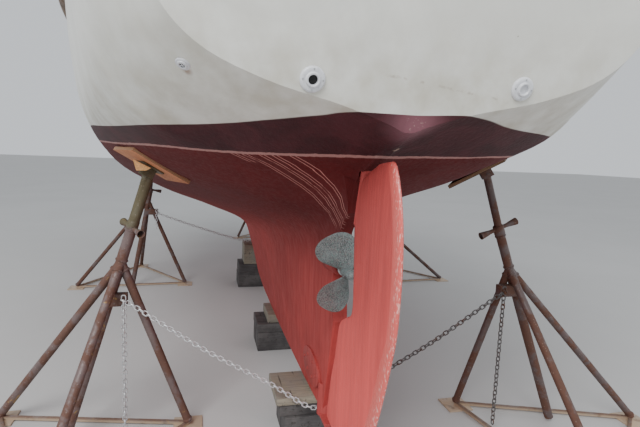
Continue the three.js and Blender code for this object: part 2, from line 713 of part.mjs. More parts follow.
function makePulpit() {
  const feet = [[6950, 0.88], [7420, 0.8]];
  const legs = SIDES.flatMap(([, sign]) => feet.map(([x, fraction]) => leg(x, sign * fraction)));
  const route = [
    guardTop(6950, 0.88), guardTop(7200, 0.86), guardTop(7420, 0.8), guardTop(7600, 0.7),
    [8800, 0, guardTop(7600, 0)[2]],
  ];
  const otherSide = route.slice(0, -1).reverse().map(([x, y, z]) => [x, -y, z]);
  return seatOnDeck(join(pipe([...route, ...otherSide], RAIL_TUBE, 6, 20), ...legs));
}
piece('pulpit', makePulpit(), FINISH.stainless);

function makePushpit() {
  const feet = [[60, 0.88], [620, 0.93]];
  const legs = SIDES.flatMap(([, sign]) => feet.map(([x, fraction]) => leg(x, sign * fraction)));
  const corners = [[620, 0.93], [330, 0.92], [60, 0.88], [10, 0.72], [0, 0]];
  const route = corners.map(([x, fraction]) => guardTop(x, fraction));
  const otherSide = route.slice(0, -1).reverse().map(([x, y, z]) => [x, -y, z]);
  return seatOnDeck(join(pipe([...route, ...otherSide], RAIL_TUBE, 6, 18), ...legs));
}
piece('pushpit', makePushpit(), FINISH.stainless);

const STANCHIONS = [1500, 2600, 3700, 4800, 5900];

function makeLifelines(sign) {
  const fraction = 0.94 * sign;
  const posts = STANCHIONS.map((x) => leg(x, fraction));
  const height = GUARD_HEIGHT - 15;
  const tops = STANCHIONS.map((x) => guardTop(x, fraction, height));
  const ends = [guardTop(700, fraction, height), guardTop(6830, sign * 0.89, height)];
  return seatOnDeck(join(...posts, pipe([ends[0], ...tops, ends[1]], 4, 5, 12)));
}
for (const [side, sign] of SIDES) piece(`lifelines_${side}`, makeLifelines(sign), FINISH.stainless);

// Mast with its head and gooseneck, spreaders, boom and stays

function mastTube(clearance) {
  const { x, footZ, topZ, halfChord, halfWidth } = MAST;
  const options = { depth: topZ - footZ - SEAT_GAP, bevelEnabled: false };
  const outline = roundShape(halfChord + clearance, halfWidth + clearance, 16);
  return new THREE.ExtrudeGeometry(outline, options).translate(x, 0, footZ + SEAT_GAP);
}

function makeMast() {
  const { x, footZ, topZ } = MAST;
  const lugs = [-40, 20].map((lift) => (
    block([BOOM.pivotX - 16, x - 60], [-16, 16], [BOOM.z + lift, BOOM.z + lift + 20])
  ));
  return join(
    mastTube(0),
    block([x - 110, x + 110], [-80, 80], [footZ + SEAT_GAP, footZ + 14]),
    block([x - 210, x + 160], [-28, 28], [topZ - 76, topZ - 10]),
    ...lugs,
    bar([BOOM.pivotX, 0, BOOM.z - 35], [BOOM.pivotX, 0, BOOM.z + 35], 6),
  );
}
piece('mast', makeMast(), FINISH.alloy);

for (const [side, sign] of SIDES) {
  const root = [MAST.x, sign * 20, SPREADER.z];
  const tip = [MAST.x - 10, sign * SPREADER.length, SPREADER.z + 45];
  piece(`spreader_${side}`, cut(bar(root, tip, 26, 10, 13), mastTube(SEAT_GAP)), FINISH.alloy);
}

function makeBoom() {
  const { pivotX, z, noseX, endX, halfHeight, halfWidth } = BOOM;
  const options = { depth: noseX - endX, bevelEnabled: false };
  const spar = new THREE.ExtrudeGeometry(roundShape(halfHeight, halfWidth, 14), options);
  const tongue = join(
    block([noseX - 30, pivotX], [-13, 13], [z - 9, z + 9]),
    bar([pivotX, 0, z - 9], [pivotX, 0, z + 9], 15, 12),
  );
  const whole = join(spar.rotateY(Math.PI / 2).translate(endX, 0, z), tongue);
  return cut(whole, bar([pivotX, 0, z - 20], [pivotX, 0, z + 20], 6.6, 12));
}
piece('boom', makeBoom(), FINISH.alloy);

// The wire from the masthead to the eye at the boom's end
function makeToppingLift() {
  const eye = { x: BOOM.endX + 40, z: BOOM.z + BOOM.halfHeight + SEAT_GAP };
  return join(
    block([eye.x - 14, eye.x + 14], [-4, 4], [eye.z, eye.z + 34]),
    bar([eye.x, 0, eye.z + 20], [BOOM.pivotX - 5, 0, MAST.topZ - 78], 3),
  );
}
piece('topping_lift', makeToppingLift(), FINISH.stainless);

const WIRE = 3.5;

// A stay's lower end: deck plate, then its screw, as a share of the way up
function stayFoot(foot, top) {
  const [x, y, z] = foot;
  const start = new THREE.Vector3(...foot);
  const up = new THREE.Vector3(...top).sub(start).normalize();
  const screwEnd = start.clone().addScaledVector(up, 330);
  const screwStart = start.clone().addScaledVector(up, 50);
  return join(
    block([x - 30, x + 30], [y - 8, y + 8], [z - 40, z + 62]),
    bar(screwStart.toArray(), screwEnd.toArray(), 9),
  );
}

function makeStay(foot, points) {
  const route = [foot, ...points];
  const wires = points.map((point, at) => bar(route[at], point, WIRE, 6));
  return [stayFoot(foot, points[0]), ...wires];
}

function makeForestay() {
  const foot = deckTopPoint(7640, 0);
  const eyeX = MAST.x + 160 + SEAT_GAP;
  const top = [eyeX + 16, 0, MAST.topZ - 40];
  const eye = block([eyeX, eyeX + 30], [-9, 9], [top[2] - 18, top[2] + 18]);
  return seatOnDeck(join(...makeStay(foot, [top]), eye));
}
piece('forestay', makeForestay(), FINISH.stainless);

function makeBackstay() {
  const foot = deckTopPoint(5, 0);
  const eyeX = MAST.x - 210 - SEAT_GAP;
  const top = [eyeX - 16, 0, MAST.topZ - 30];
  const eye = block([eyeX - 30, eyeX], [-9, 9], [top[2] - 18, top[2] + 14]);
  return seatOnDeck(join(...makeStay(foot, [top]), eye));
}
piece('backstay', makeBackstay(), FINISH.stainless);

const mastTang = (sign, z) => block(
  [MAST.x - 22, MAST.x + 22],
  mirrored([MAST.halfWidth + SEAT_GAP, MAST.halfWidth + 16], sign),
  [z - 24, z + 24],
);

for (const [side, sign] of SIDES) {
  const tangY = sign * (MAST.halfWidth + 8);
  const tip = [MAST.x - 10, sign * (SPREADER.length + 6), SPREADER.z + 45];
  const head = [MAST.x, tangY, MAST.topZ - 160];
  const cap = makeStay(deckTopPoint(4000, sign * 0.9).fill(MAST.x, 0, 1), [tip, head]);
  piece(`cap_shroud_${side}`, seatOnDeck(join(...cap, mastTang(sign, head[2]))), FINISH.stainless);
  const tang = [MAST.x, tangY, SPREADER.z - 120];
  const lowers = [4300, 5150].flatMap((x) => makeStay(deckTopPoint(x, sign * 0.92), [tang]));
  piece(`lower_shrouds_${side}`, seatOnDeck(join(...lowers, mastTang(sign, tang[2]))), FINISH.stainless);
}

// Timber stacks under the keel, from the floor up. Each layer: after face X, half width, underside Z,
// top Z before it meets the keel, number of timbers side by side

const STACKS = {
  aft: [[850, 160, -1470, -1320, 2], [863, 190, -1320, -1258, 1], [855, 208, -1258, HEEL.bottom - 0.5, 1]],
  middle: [[2015, 165, -1470, -1330, 2], [2020, 168, -1330, -1264, 1], [2040, 90, -1264, -1200, 1]],
  fore: [[3720, 182, -1470, -1330, 2], [3722, 176, -1330, -1215, 1], [3730, 122, -1215, -1000, 1]],
};
const STACK_DEPTH = 290;
const TIMBER_GAP = 12;

function makeStack(layers) {
  const timbers = layers.flatMap(([x, halfWidth, lowZ, topZ, count]) => {
    const depth = (STACK_DEPTH + TIMBER_GAP) / count - TIMBER_GAP;
    return Array.from({ length: count }, (_, at) => {
      const aft = x + at * (depth + TIMBER_GAP);
      return block([aft, aft + depth], [-halfWidth, halfWidth], [Math.max(lowZ - 1, FLOOR_Z), topZ]);
    });
  });
  return cut(join(...timbers), moved(hull, 0, 0, -SEAT_GAP));
}
for (const [name, layers] of Object.entries(STACKS)) {
  piece(`keel_blocks_${name}`, makeStack(layers), FINISH.weatheredWood);
}

// Jack stands: a point on the screw's line where it meets the hull, the screw's joint with the legs, the
// handle's turn about the screw in degrees, how far inboard and how far down the chain hooks on, and the
// three feet

const STANDS = [
  ['aft_port', [1060, 824, -119], [1060, 946, -523], 55, [-8, 211],
    [[1128, 640], [1351, 1612], [486, 1214]]],
  ['aft_starboard', [800, -812, -53], [800, -1003, -531], 0, [41, 145],
    [[1060, -920], [725, -1869], [70, -1100]]],
  ['middle_port', [3950, 1070, -250], [3930, 1119, -526], 20, [80, 145],
    [[3911, 747], [3871, 1824], [4780, 1300]]],
  ['middle_starboard', [3900, -1150, -240], [3900, -1330, -640], 10, [34, 145],
    [[3700, -1270], [3777, -2280], [4600, -1750]]],
  ['fore', [6840, -350, -160], [6860, -390, -640], 0, [34, 145],
    [[6713, -35], [6620, -900], [7330, -560]]],
];
const PAD = { size: 300, thickness: 18, probe: 110, sink: 4 };
const SCREW = { radius: 20, tubeEnd: 0.32, handle: 0.365, wing: 110, wingRoot: 9, wingEnd: 20 };
const BRACKET = { aft: 35, height: 60 };

// The screw's line, and where and how steeply it meets the hull
function standAxis([, aim, junction]) {
  const start = new THREE.Vector3(...junction);
  const up = new THREE.Vector3(...aim).sub(start).normalize();
  const sideways = new THREE.Vector3(1, 0, 0).cross(up).normalize();
  const [a, b, c] = [0, 120, 240].map((angle) => {
    const offset = sideways.clone().applyAxisAngle(up, THREE.MathUtils.degToRad(angle));
    return hullHit(start.clone().addScaledVector(offset, PAD.probe), up).point;
  });
  const normal = b.sub(a).cross(c.sub(a)).normalize();
  if (normal.dot(up) > 0) normal.negate();
  const { point } = hullHit(start, up);
  return { start, up, normal, point, length: point.distanceTo(start) };
}

function makePad(stand) {
  const { point, normal } = standAxis(stand);
  const board = new THREE.BoxGeometry(PAD.size, PAD.size, PAD.thickness).rotateZ(Math.PI / 4);
  const middle = point.clone().addScaledVector(normal, PAD.thickness / 2 - PAD.sink);
  const placed = placeAlong(board, normal, middle.toArray());
  const away = normal.clone().multiplyScalar(SEAT_GAP);
  return cut(placed, moved(hull, away.x, away.y, away.z), hull);
}

// The plate on a stand's after side that a chain hooks on, out to the leaning tube
function makeBracket([, [, aimY, aimZ], [x, y, z], , [inboard, drop]]) {
  const hookY = y - Math.sign(y) * inboard;
  const tubeY = y - (drop * (aimY - y)) / (aimZ - z);
  const across = [Math.min(tubeY, hookY - 12), Math.max(tubeY, hookY + 12)];
  const level = z - drop;
  return block([x - BRACKET.aft, x + 10], across, [level - BRACKET.height / 2, level + BRACKET.height / 2]);
}

function makeStand(stand) {
  const [, , , handleTurn, , feet] = stand;
  const { start, up, normal, point, length } = standAxis(stand);
  const along = (distance) => start.clone().addScaledVector(up, distance).toArray();
  const plateAt = point.clone().addScaledVector(normal, PAD.thickness - PAD.sink + SEAT_GAP);
  const plate = new THREE.BoxGeometry(110, 110, 8).translate(0, 0, 4);
  const clevis = new THREE.BoxGeometry(56, 44, 46).translate(0, 0, 30);
  const clevisMiddle = plateAt.clone().addScaledVector(normal, 30).toArray();
  const legs = feet.map(([x, y]) => bar(along(-30), [x, y, FLOOR_Z + 26], STAND_PIPE * 0.8));
  const plates = feet.map(([x, y]) => block([x - 55, x + 55], [y - 55, y + 55], [FLOOR_Z, FLOOR_Z + 8]));
  const ties = feet.map(([x, y], at) => {
    const [nextX, nextY] = feet[(at + 1) % feet.length];
    return bar([x, y, FLOOR_Z + 16], [nextX, nextY, FLOOR_Z + 16], 12, 4);
  });
  const tee = new THREE.Vector3(0, up.z, -up.y).normalize();
  tee.applyAxisAngle(up, THREE.MathUtils.degToRad(handleTurn));
  const hub = along(length * SCREW.handle);
  const wings = [-1, 1].map((way) => {
    const tip = new THREE.Vector3(...hub).addScaledVector(tee, way * SCREW.wing).toArray();
    return bar(hub, tip, SCREW.wingRoot, 8, SCREW.wingEnd);
  });
  return join(
    bar(along((FLOOR_Z + 30 - start.z) / up.z), along(length * SCREW.tubeEnd), STAND_PIPE, 8),
    bar(along(length * (SCREW.tubeEnd - 0.01)), along(length * (SCREW.handle + 0.04)), STAND_PIPE + 4),
    bar(hub, clevisMiddle, SCREW.radius),
    ...wings,
    placeAlong(plate, normal, plateAt.toArray()),
    placeAlong(clevis, normal, plateAt.toArray()),
    makeBracket(stand),
    ...legs,
    ...plates,
    ...ties,
  );
}

for (const stand of STANDS) {
  piece(`stand_${stand[0]}`, makeStand(stand), FINISH.rustySteel);
  piece(`stand_pad_${stand[0]}`, makePad(stand), FINISH.plywood);
}

// Chains from stand to stand under the keel, each with its loose ends hanging:
// [name, port stand, starboard stand, X and Z under the keel, half width of its level part, its bends as
// shares of the way out and of the drop, Z of the loose ends, a link's length]

const CHAINS = [
  ['aft', 0, 1, 790, -1240, 50, [[0.6, 0.45], [0.25, 0.79]], -1400, 25],
  ['middle', 2, 3, 3860, -975, 130, [[0.55, 0.566]], -830, 36],
];
const LINK = { halfWidth: 12, halfDepth: 4 };

// A chain as one body: every link lies flat, a quarter turn from the one before
function linkedChain(points, pitch) {
  const corners = points.map((point) => new THREE.Vector3(...point));
  const route = new THREE.CatmullRomCurve3(corners, false, 'centripetal');
  route.arcLengthDivisions = 400;
  const steps = 2 * Math.round(route.getLength() / pitch);
  const { normals, binormals } = route.computeFrenetFrames(steps);
  const rings = normals.map((normal, at) => {
    const isTurned = Math.floor(at / 2) % 2 === 1;
    const along = isTurned ? LINK.halfDepth : LINK.halfWidth;
    const across = isTurned ? LINK.halfWidth : LINK.halfDepth;
    return [[along, 0], [0, across], [-along, 0], [0, -across]].map(([u, v]) => (
      route.getPointAt(at / steps).addScaledVector(normal, u).addScaledVector(binormals[at], v).toArray()
    ));
  });
  return loft(rings);
}

function chainEnd([, , [x, y, z], , [inboard, drop]]) {
  return [x - BRACKET.aft - LINK.halfWidth - 2 * SEAT_GAP, y - Math.sign(y) * inboard, z - drop];
}

function makeChain(port, starboard, keelX, keelZ, levelHalf, bends, looseZ, pitch) {
  const ends = [port, starboard].map(chainEnd);
  const half = (end) => [
    end,
    [end[0], end[1] - Math.sign(end[1]) * 26, end[2] - 14],
    ...bends.map(([out, drop]) => [
      keelX + out * (end[0] - keelX), out * end[1], end[2] + drop * (keelZ - end[2]),
    ]),
    [keelX, Math.sign(end[1]) * levelHalf, keelZ + 3],
  ];
  const route = [...half(ends[0]), [keelX, 0, keelZ], ...half(ends[1]).reverse()];
  const loose = ends.map(([x, y, z]) => linkedChain([[x, y, z + 16], [x, y, looseZ]], pitch));
  return join(linkedChain(route, pitch), ...loose);
}
for (const [name, port, starboard, ...line] of CHAINS) {
  piece(`chain_${name}`, makeChain(STANDS[port], STANDS[starboard], ...line), FINISH.galvanised);
}

// The origin is the middle of the floor under everything
const middle = new THREE.Box3().setFromObject(yacht).getCenter(new THREE.Vector3());
yacht.position.set(-middle.x, -middle.y, -FLOOR_Z);

export default yacht;
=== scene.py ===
"""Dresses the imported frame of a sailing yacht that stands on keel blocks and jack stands.

The file is laid out as an add-on and run as a script. Lengths in the tables are millimetres in the
boat's own frame: X forward, Y to port and Z up from the painted waterline.
"""

import math
from itertools import pairwise

import bmesh
import bpy
from mathutils import Matrix, Quaternion, Vector
from mathutils.bvhtree import BVHTree


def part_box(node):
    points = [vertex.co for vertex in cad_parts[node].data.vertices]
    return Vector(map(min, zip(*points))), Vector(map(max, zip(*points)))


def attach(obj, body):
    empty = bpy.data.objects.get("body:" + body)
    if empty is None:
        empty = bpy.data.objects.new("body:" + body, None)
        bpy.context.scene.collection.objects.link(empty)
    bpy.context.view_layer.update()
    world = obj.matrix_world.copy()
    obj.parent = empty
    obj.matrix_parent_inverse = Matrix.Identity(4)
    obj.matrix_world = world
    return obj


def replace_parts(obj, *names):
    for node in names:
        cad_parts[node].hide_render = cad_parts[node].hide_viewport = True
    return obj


bl_info = {
    "name": "Laid-up sailing yacht",
    "version": (1, 0, 0),
    "blender": (4, 5, 0),
    "location": "View3D > Sidebar > Yacht",
    "description": "Dresses a sailing yacht that stands ashore on keel blocks and jack stands",
    "category": "Object",
}

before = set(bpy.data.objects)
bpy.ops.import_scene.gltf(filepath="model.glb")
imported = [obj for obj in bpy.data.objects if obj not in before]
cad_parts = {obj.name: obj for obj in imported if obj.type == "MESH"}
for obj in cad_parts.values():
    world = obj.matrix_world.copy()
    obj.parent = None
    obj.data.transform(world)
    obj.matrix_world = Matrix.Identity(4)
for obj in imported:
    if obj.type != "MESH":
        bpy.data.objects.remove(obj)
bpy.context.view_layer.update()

# Bodies of the frame
SHIP = "hull_and_cradle"
STEERING = "rudder_and_tiller"
SIDES = (("port", 1), ("starboard", -1))

# Where the boat's own frame lies in the row's frame, in metres
BOAT_ORIGIN = Vector((-4.262952, 0.228, 1.470))
FLOOR_Z = -1470
FORWARD, PORT, UP = Vector((1, 0, 0)), Vector((0, 1, 0)), Vector((0, 0, 1))


def at(x, y, z):
    """A place in the boat's frame, in millimetres, as metres in the row's frame."""
    return BOAT_ORIGIN + Vector((x, y, z)) / 1000


def mm(*lengths):
    """Millimetres as metres."""
    scaled = [length / 1000 for length in lengths]
    return scaled if len(scaled) > 1 else scaled[0]


def scaled(pairs):
    """Pairs of millimetres as metres."""
    return [(a / 1000, b / 1000) for a, b in pairs]


# Shapes

def smooth_line(corners, steps):
    """A centripetal Catmull-Rom line through the corners, with equal steps from each to the next."""
    around = [corners[0] * 2 - corners[1], *corners, corners[-1] * 2 - corners[-2]]
    line = [corners[0].copy()]
    for a, b, c, d in zip(around, around[1:], around[2:], around[3:]):
        before, span, after = (max((q - p).length, 1e-9) ** 0.5 for p, q in ((a, b), (b, c), (c, d)))
        leaving = ((b - a) / before - (c - a) / (before + span) + (c - b) / span) * span
        arriving = ((c - b) / span - (d - b) / (span + after) + (d - c) / after) * span
        for step in range(1, steps + 1):
            t = step / steps
            rise = t * t * (3 - 2 * t)
            bend = t * (1 - t)
            line.append(b * (1 - rise) + c * rise + bend * ((1 - t) * leaving - t * arriving))
    return line


def between(rows, column, x):
    """One column of a table at x, smooth and without overshooting the rows."""
    where = next((index for index, row in enumerate(rows) if row[0] > x), len(rows) - 1)
    where = min(max(where - 1, 0), len(rows) - 2)

    def rise(row):
        return (rows[row + 1][column] - rows[row][column]) / (rows[row + 1][0] - rows[row][0])

    def slope(row):
        if row in (0, len(rows) - 1):
            return rise(min(row, len(rows) - 2))
        left, right = rise(row - 1), rise(row)
        return 2 * left * right / (left + right) if left * right > 0 else 0

    span = rows[where + 1][0] - rows[where][0]
    t = (x - rows[where][0]) / span
    weight = t * t * (3 - 2 * t)
    eased = rows[where][column] * (1 - weight) + rows[where + 1][column] * weight
    return eased + t * (1 - t) * span * ((1 - t) * slope(where) - t * slope(where + 1))


def face_outward(form):
    bmesh.ops.recalc_face_normals(form, faces=form.faces)


def join_rings(form, low, high, slot=0):
    """Faces between two rings of vertices, either of which may be a single point."""
    if len(low) == 1 and len(high) == 1:
        return
    count = max(len(low), len(high))
    for side in range(count):
        after = (side + 1) % count
        corners = (low[side % len(low)], low[after % len(low)],
                   high[after % len(high)], high[side % len(high)])
        form.faces.new(tuple(dict.fromkeys(corners))).material_index = slot


def loft(form, rings, slot=0, closed=False):
    """A closed skin over rings of points. Rings of one point close to a tip."""
    made = [[form.verts.new(point) for point in ring] for ring in rings]
    for low, high in pairwise(made):
        join_rings(form, low, high, slot)
    if closed:
        join_rings(form, made[-1], made[0], slot)
    else:
        for ring in (made[0], made[-1]):
            if len(ring) > 2:
                form.faces.new(ring).material_index = slot
    return made


def circle(middle, across, up, radius, sides):
    """The points of a circle in the plane of two unit vectors."""
    turns = [2 * math.pi * side / sides for side in range(sides)]
    return [middle + (across * math.cos(turn) + up * math.sin(turn)) * radius for turn in turns]


def oval(middle, long, short, sides):
    """The points of an oval with two half axes."""
    turns = [2 * math.pi * side / sides for side in range(sides)]
    return [middle + long * math.cos(turn) + short * math.sin(turn) for turn in turns]


def side_axes(direction):
    """Two unit vectors square to a direction."""
    across = direction.orthogonal().normalized()
    return across, direction.cross(across).normalized()


def tube(form, points, radius, sides=16, slot=0):
    """A round tube along points. The radius is one number or one for each point."""
    radii = radius if isinstance(radius, list) else [radius] * len(points)
    headings = [(points[min(i + 1, len(points) - 1)] - points[max(i - 1, 0)]).normalized()
                for i in range(len(points))]
    across = side_axes(headings[0])[0]
    rings = []
    for point, heading, size in zip(points, headings, radii):
        across = (across - heading * across.dot(heading)).normalized()
        rings.append(circle(point, across, heading.cross(across), size, sides))
    loft(form, rings, slot)


def lathe(form, profile, origin, axis, sides=32, slot=0, closed=False):
    """A turned shape. Each profile point is a radius and a height along the axis."""
    axis = axis.normalized()
    across, up = side_axes(axis)
    rings = []
    for radius, height in profile:
        middle = origin + axis * height
        rings.append(circle(middle, across, up, radius, sides) if radius > 1e-6 else [middle])
    loft(form, rings, slot, closed)


def add_part(form, part, slot):
    """Moves one finished bmesh into another, with its material slot."""
    for face in part.faces:
        face.material_index = slot
    mesh = bpy.data.meshes.new("part")
    part.to_mesh(mesh)
    part.free()
    form.from_mesh(mesh)
    bpy.data.meshes.remove(mesh)


def slab(form, size, place, bevel=0.002, slot=0):
    """A block with rounded edges. Its place is a matrix."""
    part = bmesh.new()
    bmesh.ops.create_cube(part, size=1, matrix=place @ Matrix.Diagonal((*size, 1)))
    bmesh.ops.bevel(part, geom=part.edges[:], offset=bevel, segments=2, profile=0.5,
                    affect="EDGES", clamp_overlap=True)
    add_part(form, part, slot)


def block(form, low, high, bevel=0.002, slot=0):
    """A rounded block between two corners in the boat's frame, in millimetres."""
    low, high = at(*low), at(*high)
    slab(form, high - low, Matrix.Translation((low + high) / 2), bevel, slot)


def facing(origin, normal):
    """A matrix with its Z along the normal."""
    return Matrix.Translation(origin) @ normal.to_track_quat("Z", "Y").to_matrix().to_4x4()


def shade(form, crease):
    """Smooth faces with sharp edges above an angle in degrees."""
    limit = math.radians(crease)
    for face in form.faces:
        face.smooth = True
    for edge in form.edges:
        edge.smooth = len(edge.link_faces) == 2 and edge.calc_face_angle(0) < limit


def finish_piece(name, form, body, slot, *materials, crease=35, outward=True):
    """Turns a bmesh into a piece that rides on a body."""
    if outward:
        face_outward(form)
    shade(form, crease)
    mesh = bpy.data.meshes.new(name)
    form.to_mesh(mesh)
    form.free()
    for material in materials:
        mesh.materials.append(material)
    piece = bpy.data.objects.new(name, mesh)
    bpy.context.scene.collection.objects.link(piece)
    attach(piece, body)
    return piece


def node_form(name):
    """A welded copy of a CAD node's mesh."""
    form = bmesh.new()
    form.from_mesh(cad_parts[name].data)
    bmesh.ops.remove_doubles(form, verts=form.verts, dist=1e-6)
    return form


def soften(name, bevel, body, slot, *materials, crease=30):
    """A copy of a CAD node with rounded edges, in the node's place."""
    form = node_form(name)
    bmesh.ops.dissolve_limit(form, angle_limit=math.radians(0.6), verts=form.verts, edges=form.edges)
    limit = math.radians(crease)
    sharp = [edge for edge in form.edges if len(edge.link_faces) == 2 and edge.calc_face_angle(0) > limit]
    bmesh.ops.bevel(form, geom=sharp, offset=bevel, segments=2, profile=0.5, affect="EDGES",
                    clamp_overlap=True)
    piece = finish_piece(name + "_finished", form, body, slot, *materials, crease=crease, outward=False)
    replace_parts(piece, name)
    return piece


def cut_out(form, cutters):
    """The form with closed cutters taken out of it. Each cutter is a bmesh."""
    def as_object(shape):
        mesh = bpy.data.meshes.new("cutting")
        shape.to_mesh(mesh)
        shape.free()
        made = bpy.data.objects.new("cutting", mesh)
        bpy.context.scene.collection.objects.link(made)
        return made

    whole = as_object(form)
    tools = [as_object(cutter) for cutter in cutters]
    for tool in tools:
        step = whole.modifiers.new("Cut", "BOOLEAN")
        step.operation = "DIFFERENCE"
        step.solver = "EXACT"
        step.object = tool
    evaluated = whole.evaluated_get(bpy.context.evaluated_depsgraph_get())
    mesh = bpy.data.meshes.new_from_object(evaluated)
    result = bmesh.new()
    result.from_mesh(mesh)
    bpy.data.meshes.remove(mesh)
    for made in (whole, *tools):
        used = made.data
        bpy.data.objects.remove(made)
        bpy.data.meshes.remove(used)
    return result


def box_form(x, y, z):
    """A plain closed box from three ranges in the boat's frame."""
    form = bmesh.new()
    low, high = at(x[0], y[0], z[0]), at(x[1], y[1], z[1])
    bmesh.ops.create_cube(form, size=1, matrix=Matrix.Translation((low + high) / 2)
                          @ Matrix.Diagonal((*(high - low), 1)))
    return form


def mirrored(low, high, sign):
    """A range on one side of the centreline."""
    return (low, high) if sign > 0 else (-high, -low)


# Repeats

def repeat_tree():
    """Geometry nodes that set copies of a piece along a line."""
    tree = bpy.data.node_groups.get("Repeat along a line")
    if tree:
        return tree
    tree = bpy.data.node_groups.new("Repeat along a line", "GeometryNodeTree")
    sockets = (
        ("Geometry", "NodeSocketGeometry"), ("Piece", "NodeSocketObject"), ("Spacing", "NodeSocketFloat"),
        ("Roll", "NodeSocketFloat"), ("Material", "NodeSocketMaterial"),
    )
    for name, kind in sockets:
        tree.interface.new_socket(name=name, in_out="INPUT", socket_type=kind)
    tree.interface.new_socket(name="Geometry", in_out="OUTPUT", socket_type="NodeSocketGeometry")

    def add(kind, **links):
        made = tree.nodes.new(kind)
        for key, socket in links.items():
            tree.links.new(socket, made.inputs[key.replace("_", " ")])
        return made

    given = tree.nodes.new("NodeGroupInput")
    curve = add("GeometryNodeMeshToCurve", Mesh=given.outputs["Geometry"])
    steps = add("GeometryNodeResampleCurve", Curve=curve.outputs["Curve"])
    steps.mode = "LENGTH"
    tree.links.new(given.outputs["Spacing"], steps.inputs["Length"])
    heading = tree.nodes.new("GeometryNodeInputTangent")
    aligned = add("FunctionNodeAlignRotationToVector", Vector=heading.outputs["Tangent"])
    aligned.axis = "X"
    place = tree.nodes.new("GeometryNodeInputIndex")
    turn = tree.nodes.new("ShaderNodeMath")
    turn.operation = "MULTIPLY"
    tree.links.new(place.outputs["Index"], turn.inputs[0])
    tree.links.new(given.outputs["Roll"], turn.inputs[1])
    spin = add("FunctionNodeAxisAngleToRotation", Angle=turn.outputs["Value"])
    spin.inputs["Axis"].default_value = (1, 0, 0)
    rolled = add("FunctionNodeRotateRotation", Rotation=aligned.outputs["Rotation"])
    rolled.rotation_space = "LOCAL"
    tree.links.new(spin.outputs["Rotation"], rolled.inputs["Rotate By"])
    source = add("GeometryNodeObjectInfo", Object=given.outputs["Piece"])
    copies = add("GeometryNodeInstanceOnPoints", Points=steps.outputs["Curve"],
                 Instance=source.outputs["Geometry"], Rotation=rolled.outputs["Rotation"])
    solid = add("GeometryNodeRealizeInstances", Geometry=copies.outputs["Instances"])
    painted = add("GeometryNodeSetMaterial", Geometry=solid.outputs["Geometry"],
                  Material=given.outputs["Material"])
    tree.links.new(painted.outputs["Geometry"], tree.nodes.new("NodeGroupOutput").inputs["Geometry"])
    return tree


def repeat_along(name, line, source_form, spacing, roll, body, slot, material, crease=40):
    """Copies of a small form along a line of points, as one finished piece."""
    mesh = bpy.data.meshes.new(name + "_line")
    mesh.from_pydata(line, [(i, i + 1) for i in range(len(line) - 1)], [])
    path = bpy.data.objects.new(name + "_line", mesh)
    source_mesh = bpy.data.meshes.new(name + "_one")
    face_outward(source_form)
    source_form.to_mesh(source_mesh)
    source_form.free()
    source = bpy.data.objects.new(name + "_one", source_mesh)
    for made in (path, source):
        bpy.context.scene.collection.objects.link(made)
    step = path.modifiers.new("Repeat", "NODES")
    step.node_group = repeat_tree()
    values = {"Piece": source, "Spacing": spacing, "Roll": roll, "Material": material}
    for item in step.node_group.interface.items_tree:
        if item.in_out == "INPUT" and item.name in values:
            step[item.identifier] = values[item.name]
    evaluated = path.evaluated_get(bpy.context.evaluated_depsgraph_get())
    result = bpy.data.meshes.new_from_object(evaluated)
    form = bmesh.new()
    form.from_mesh(result)
    for used in (result, mesh, source_mesh):
        bpy.data.meshes.remove(used)
    return finish_piece(name, form, body, slot, material, crease=crease, outward=False)


# Finishes

COAT_ROUGHNESS = 0.12
# How much drawing marks and fingerprints roughen polished metal
SCUFF = 0.1
# Colours of dirt, wear and bare stuff, and of painted light: highlights, glints and a lit patch
GRIME = (0.42, 0.37, 0.26, 1)
RUST_RUN = (0.26, 0.11, 0.045, 1)
CRACK = (0.30, 0.22, 0.15, 1)
SPECK = (0.20, 0.15, 0.10, 1)
BOOT_PAINTED_LIGHT = (0.22, 0.085, 0.105, 1)
BOOT_RUBBED = (0.45, 0.30, 0.27, 1)
BOOT_CHIP = (0.50, 0.36, 0.28, 1)
SCRATCH = (0.75, 0.36, 0.31, 1)
EDGE_PAINTED_HIGHLIGHT = (0.74, 0.125, 0.105, 1)
EDGE_PAINTED_GLINT = (0.90, 0.50, 0.44, 1)
GREY_WOOD = (0.20, 0.185, 0.175, 1)
DARK_WOOD = (0.035, 0.03, 0.028, 1)
WOOD_CHECK = (0.03, 0.025, 0.02, 1)
CAULKING = (0.02, 0.02, 0.02, 1)
PLY_LAYER = (0.42, 0.27, 0.15, 1)
OLIVE_DARK = (0.08, 0.07, 0.035, 1)
OLIVE = (0.14, 0.13, 0.075, 1)
GLINT = (0.45, 0.36, 0.30, 1)
DUST = (0.50, 0.38, 0.27, 1)
TARNISH = (0.24, 0.14, 0.08, 1)
STARBOARD_ZINC = (0.06, 0.05, 0.045, 1)
VERDIGRIS = (0.14, 0.30, 0.25, 1)
COPPER_BLOOM = (0.34, 0.20, 0.18, 1)
BRONZE_BLOOM = (0.30, 0.36, 0.36, 1)
SMOKE_DARK = (0.012, 0.014, 0.016, 1)
SMOKE = (0.035, 0.04, 0.045, 1)
RUST_DARK = (0.055, 0.022, 0.014, 1)
RUST_BRIGHT = (0.20, 0.072, 0.03, 1)


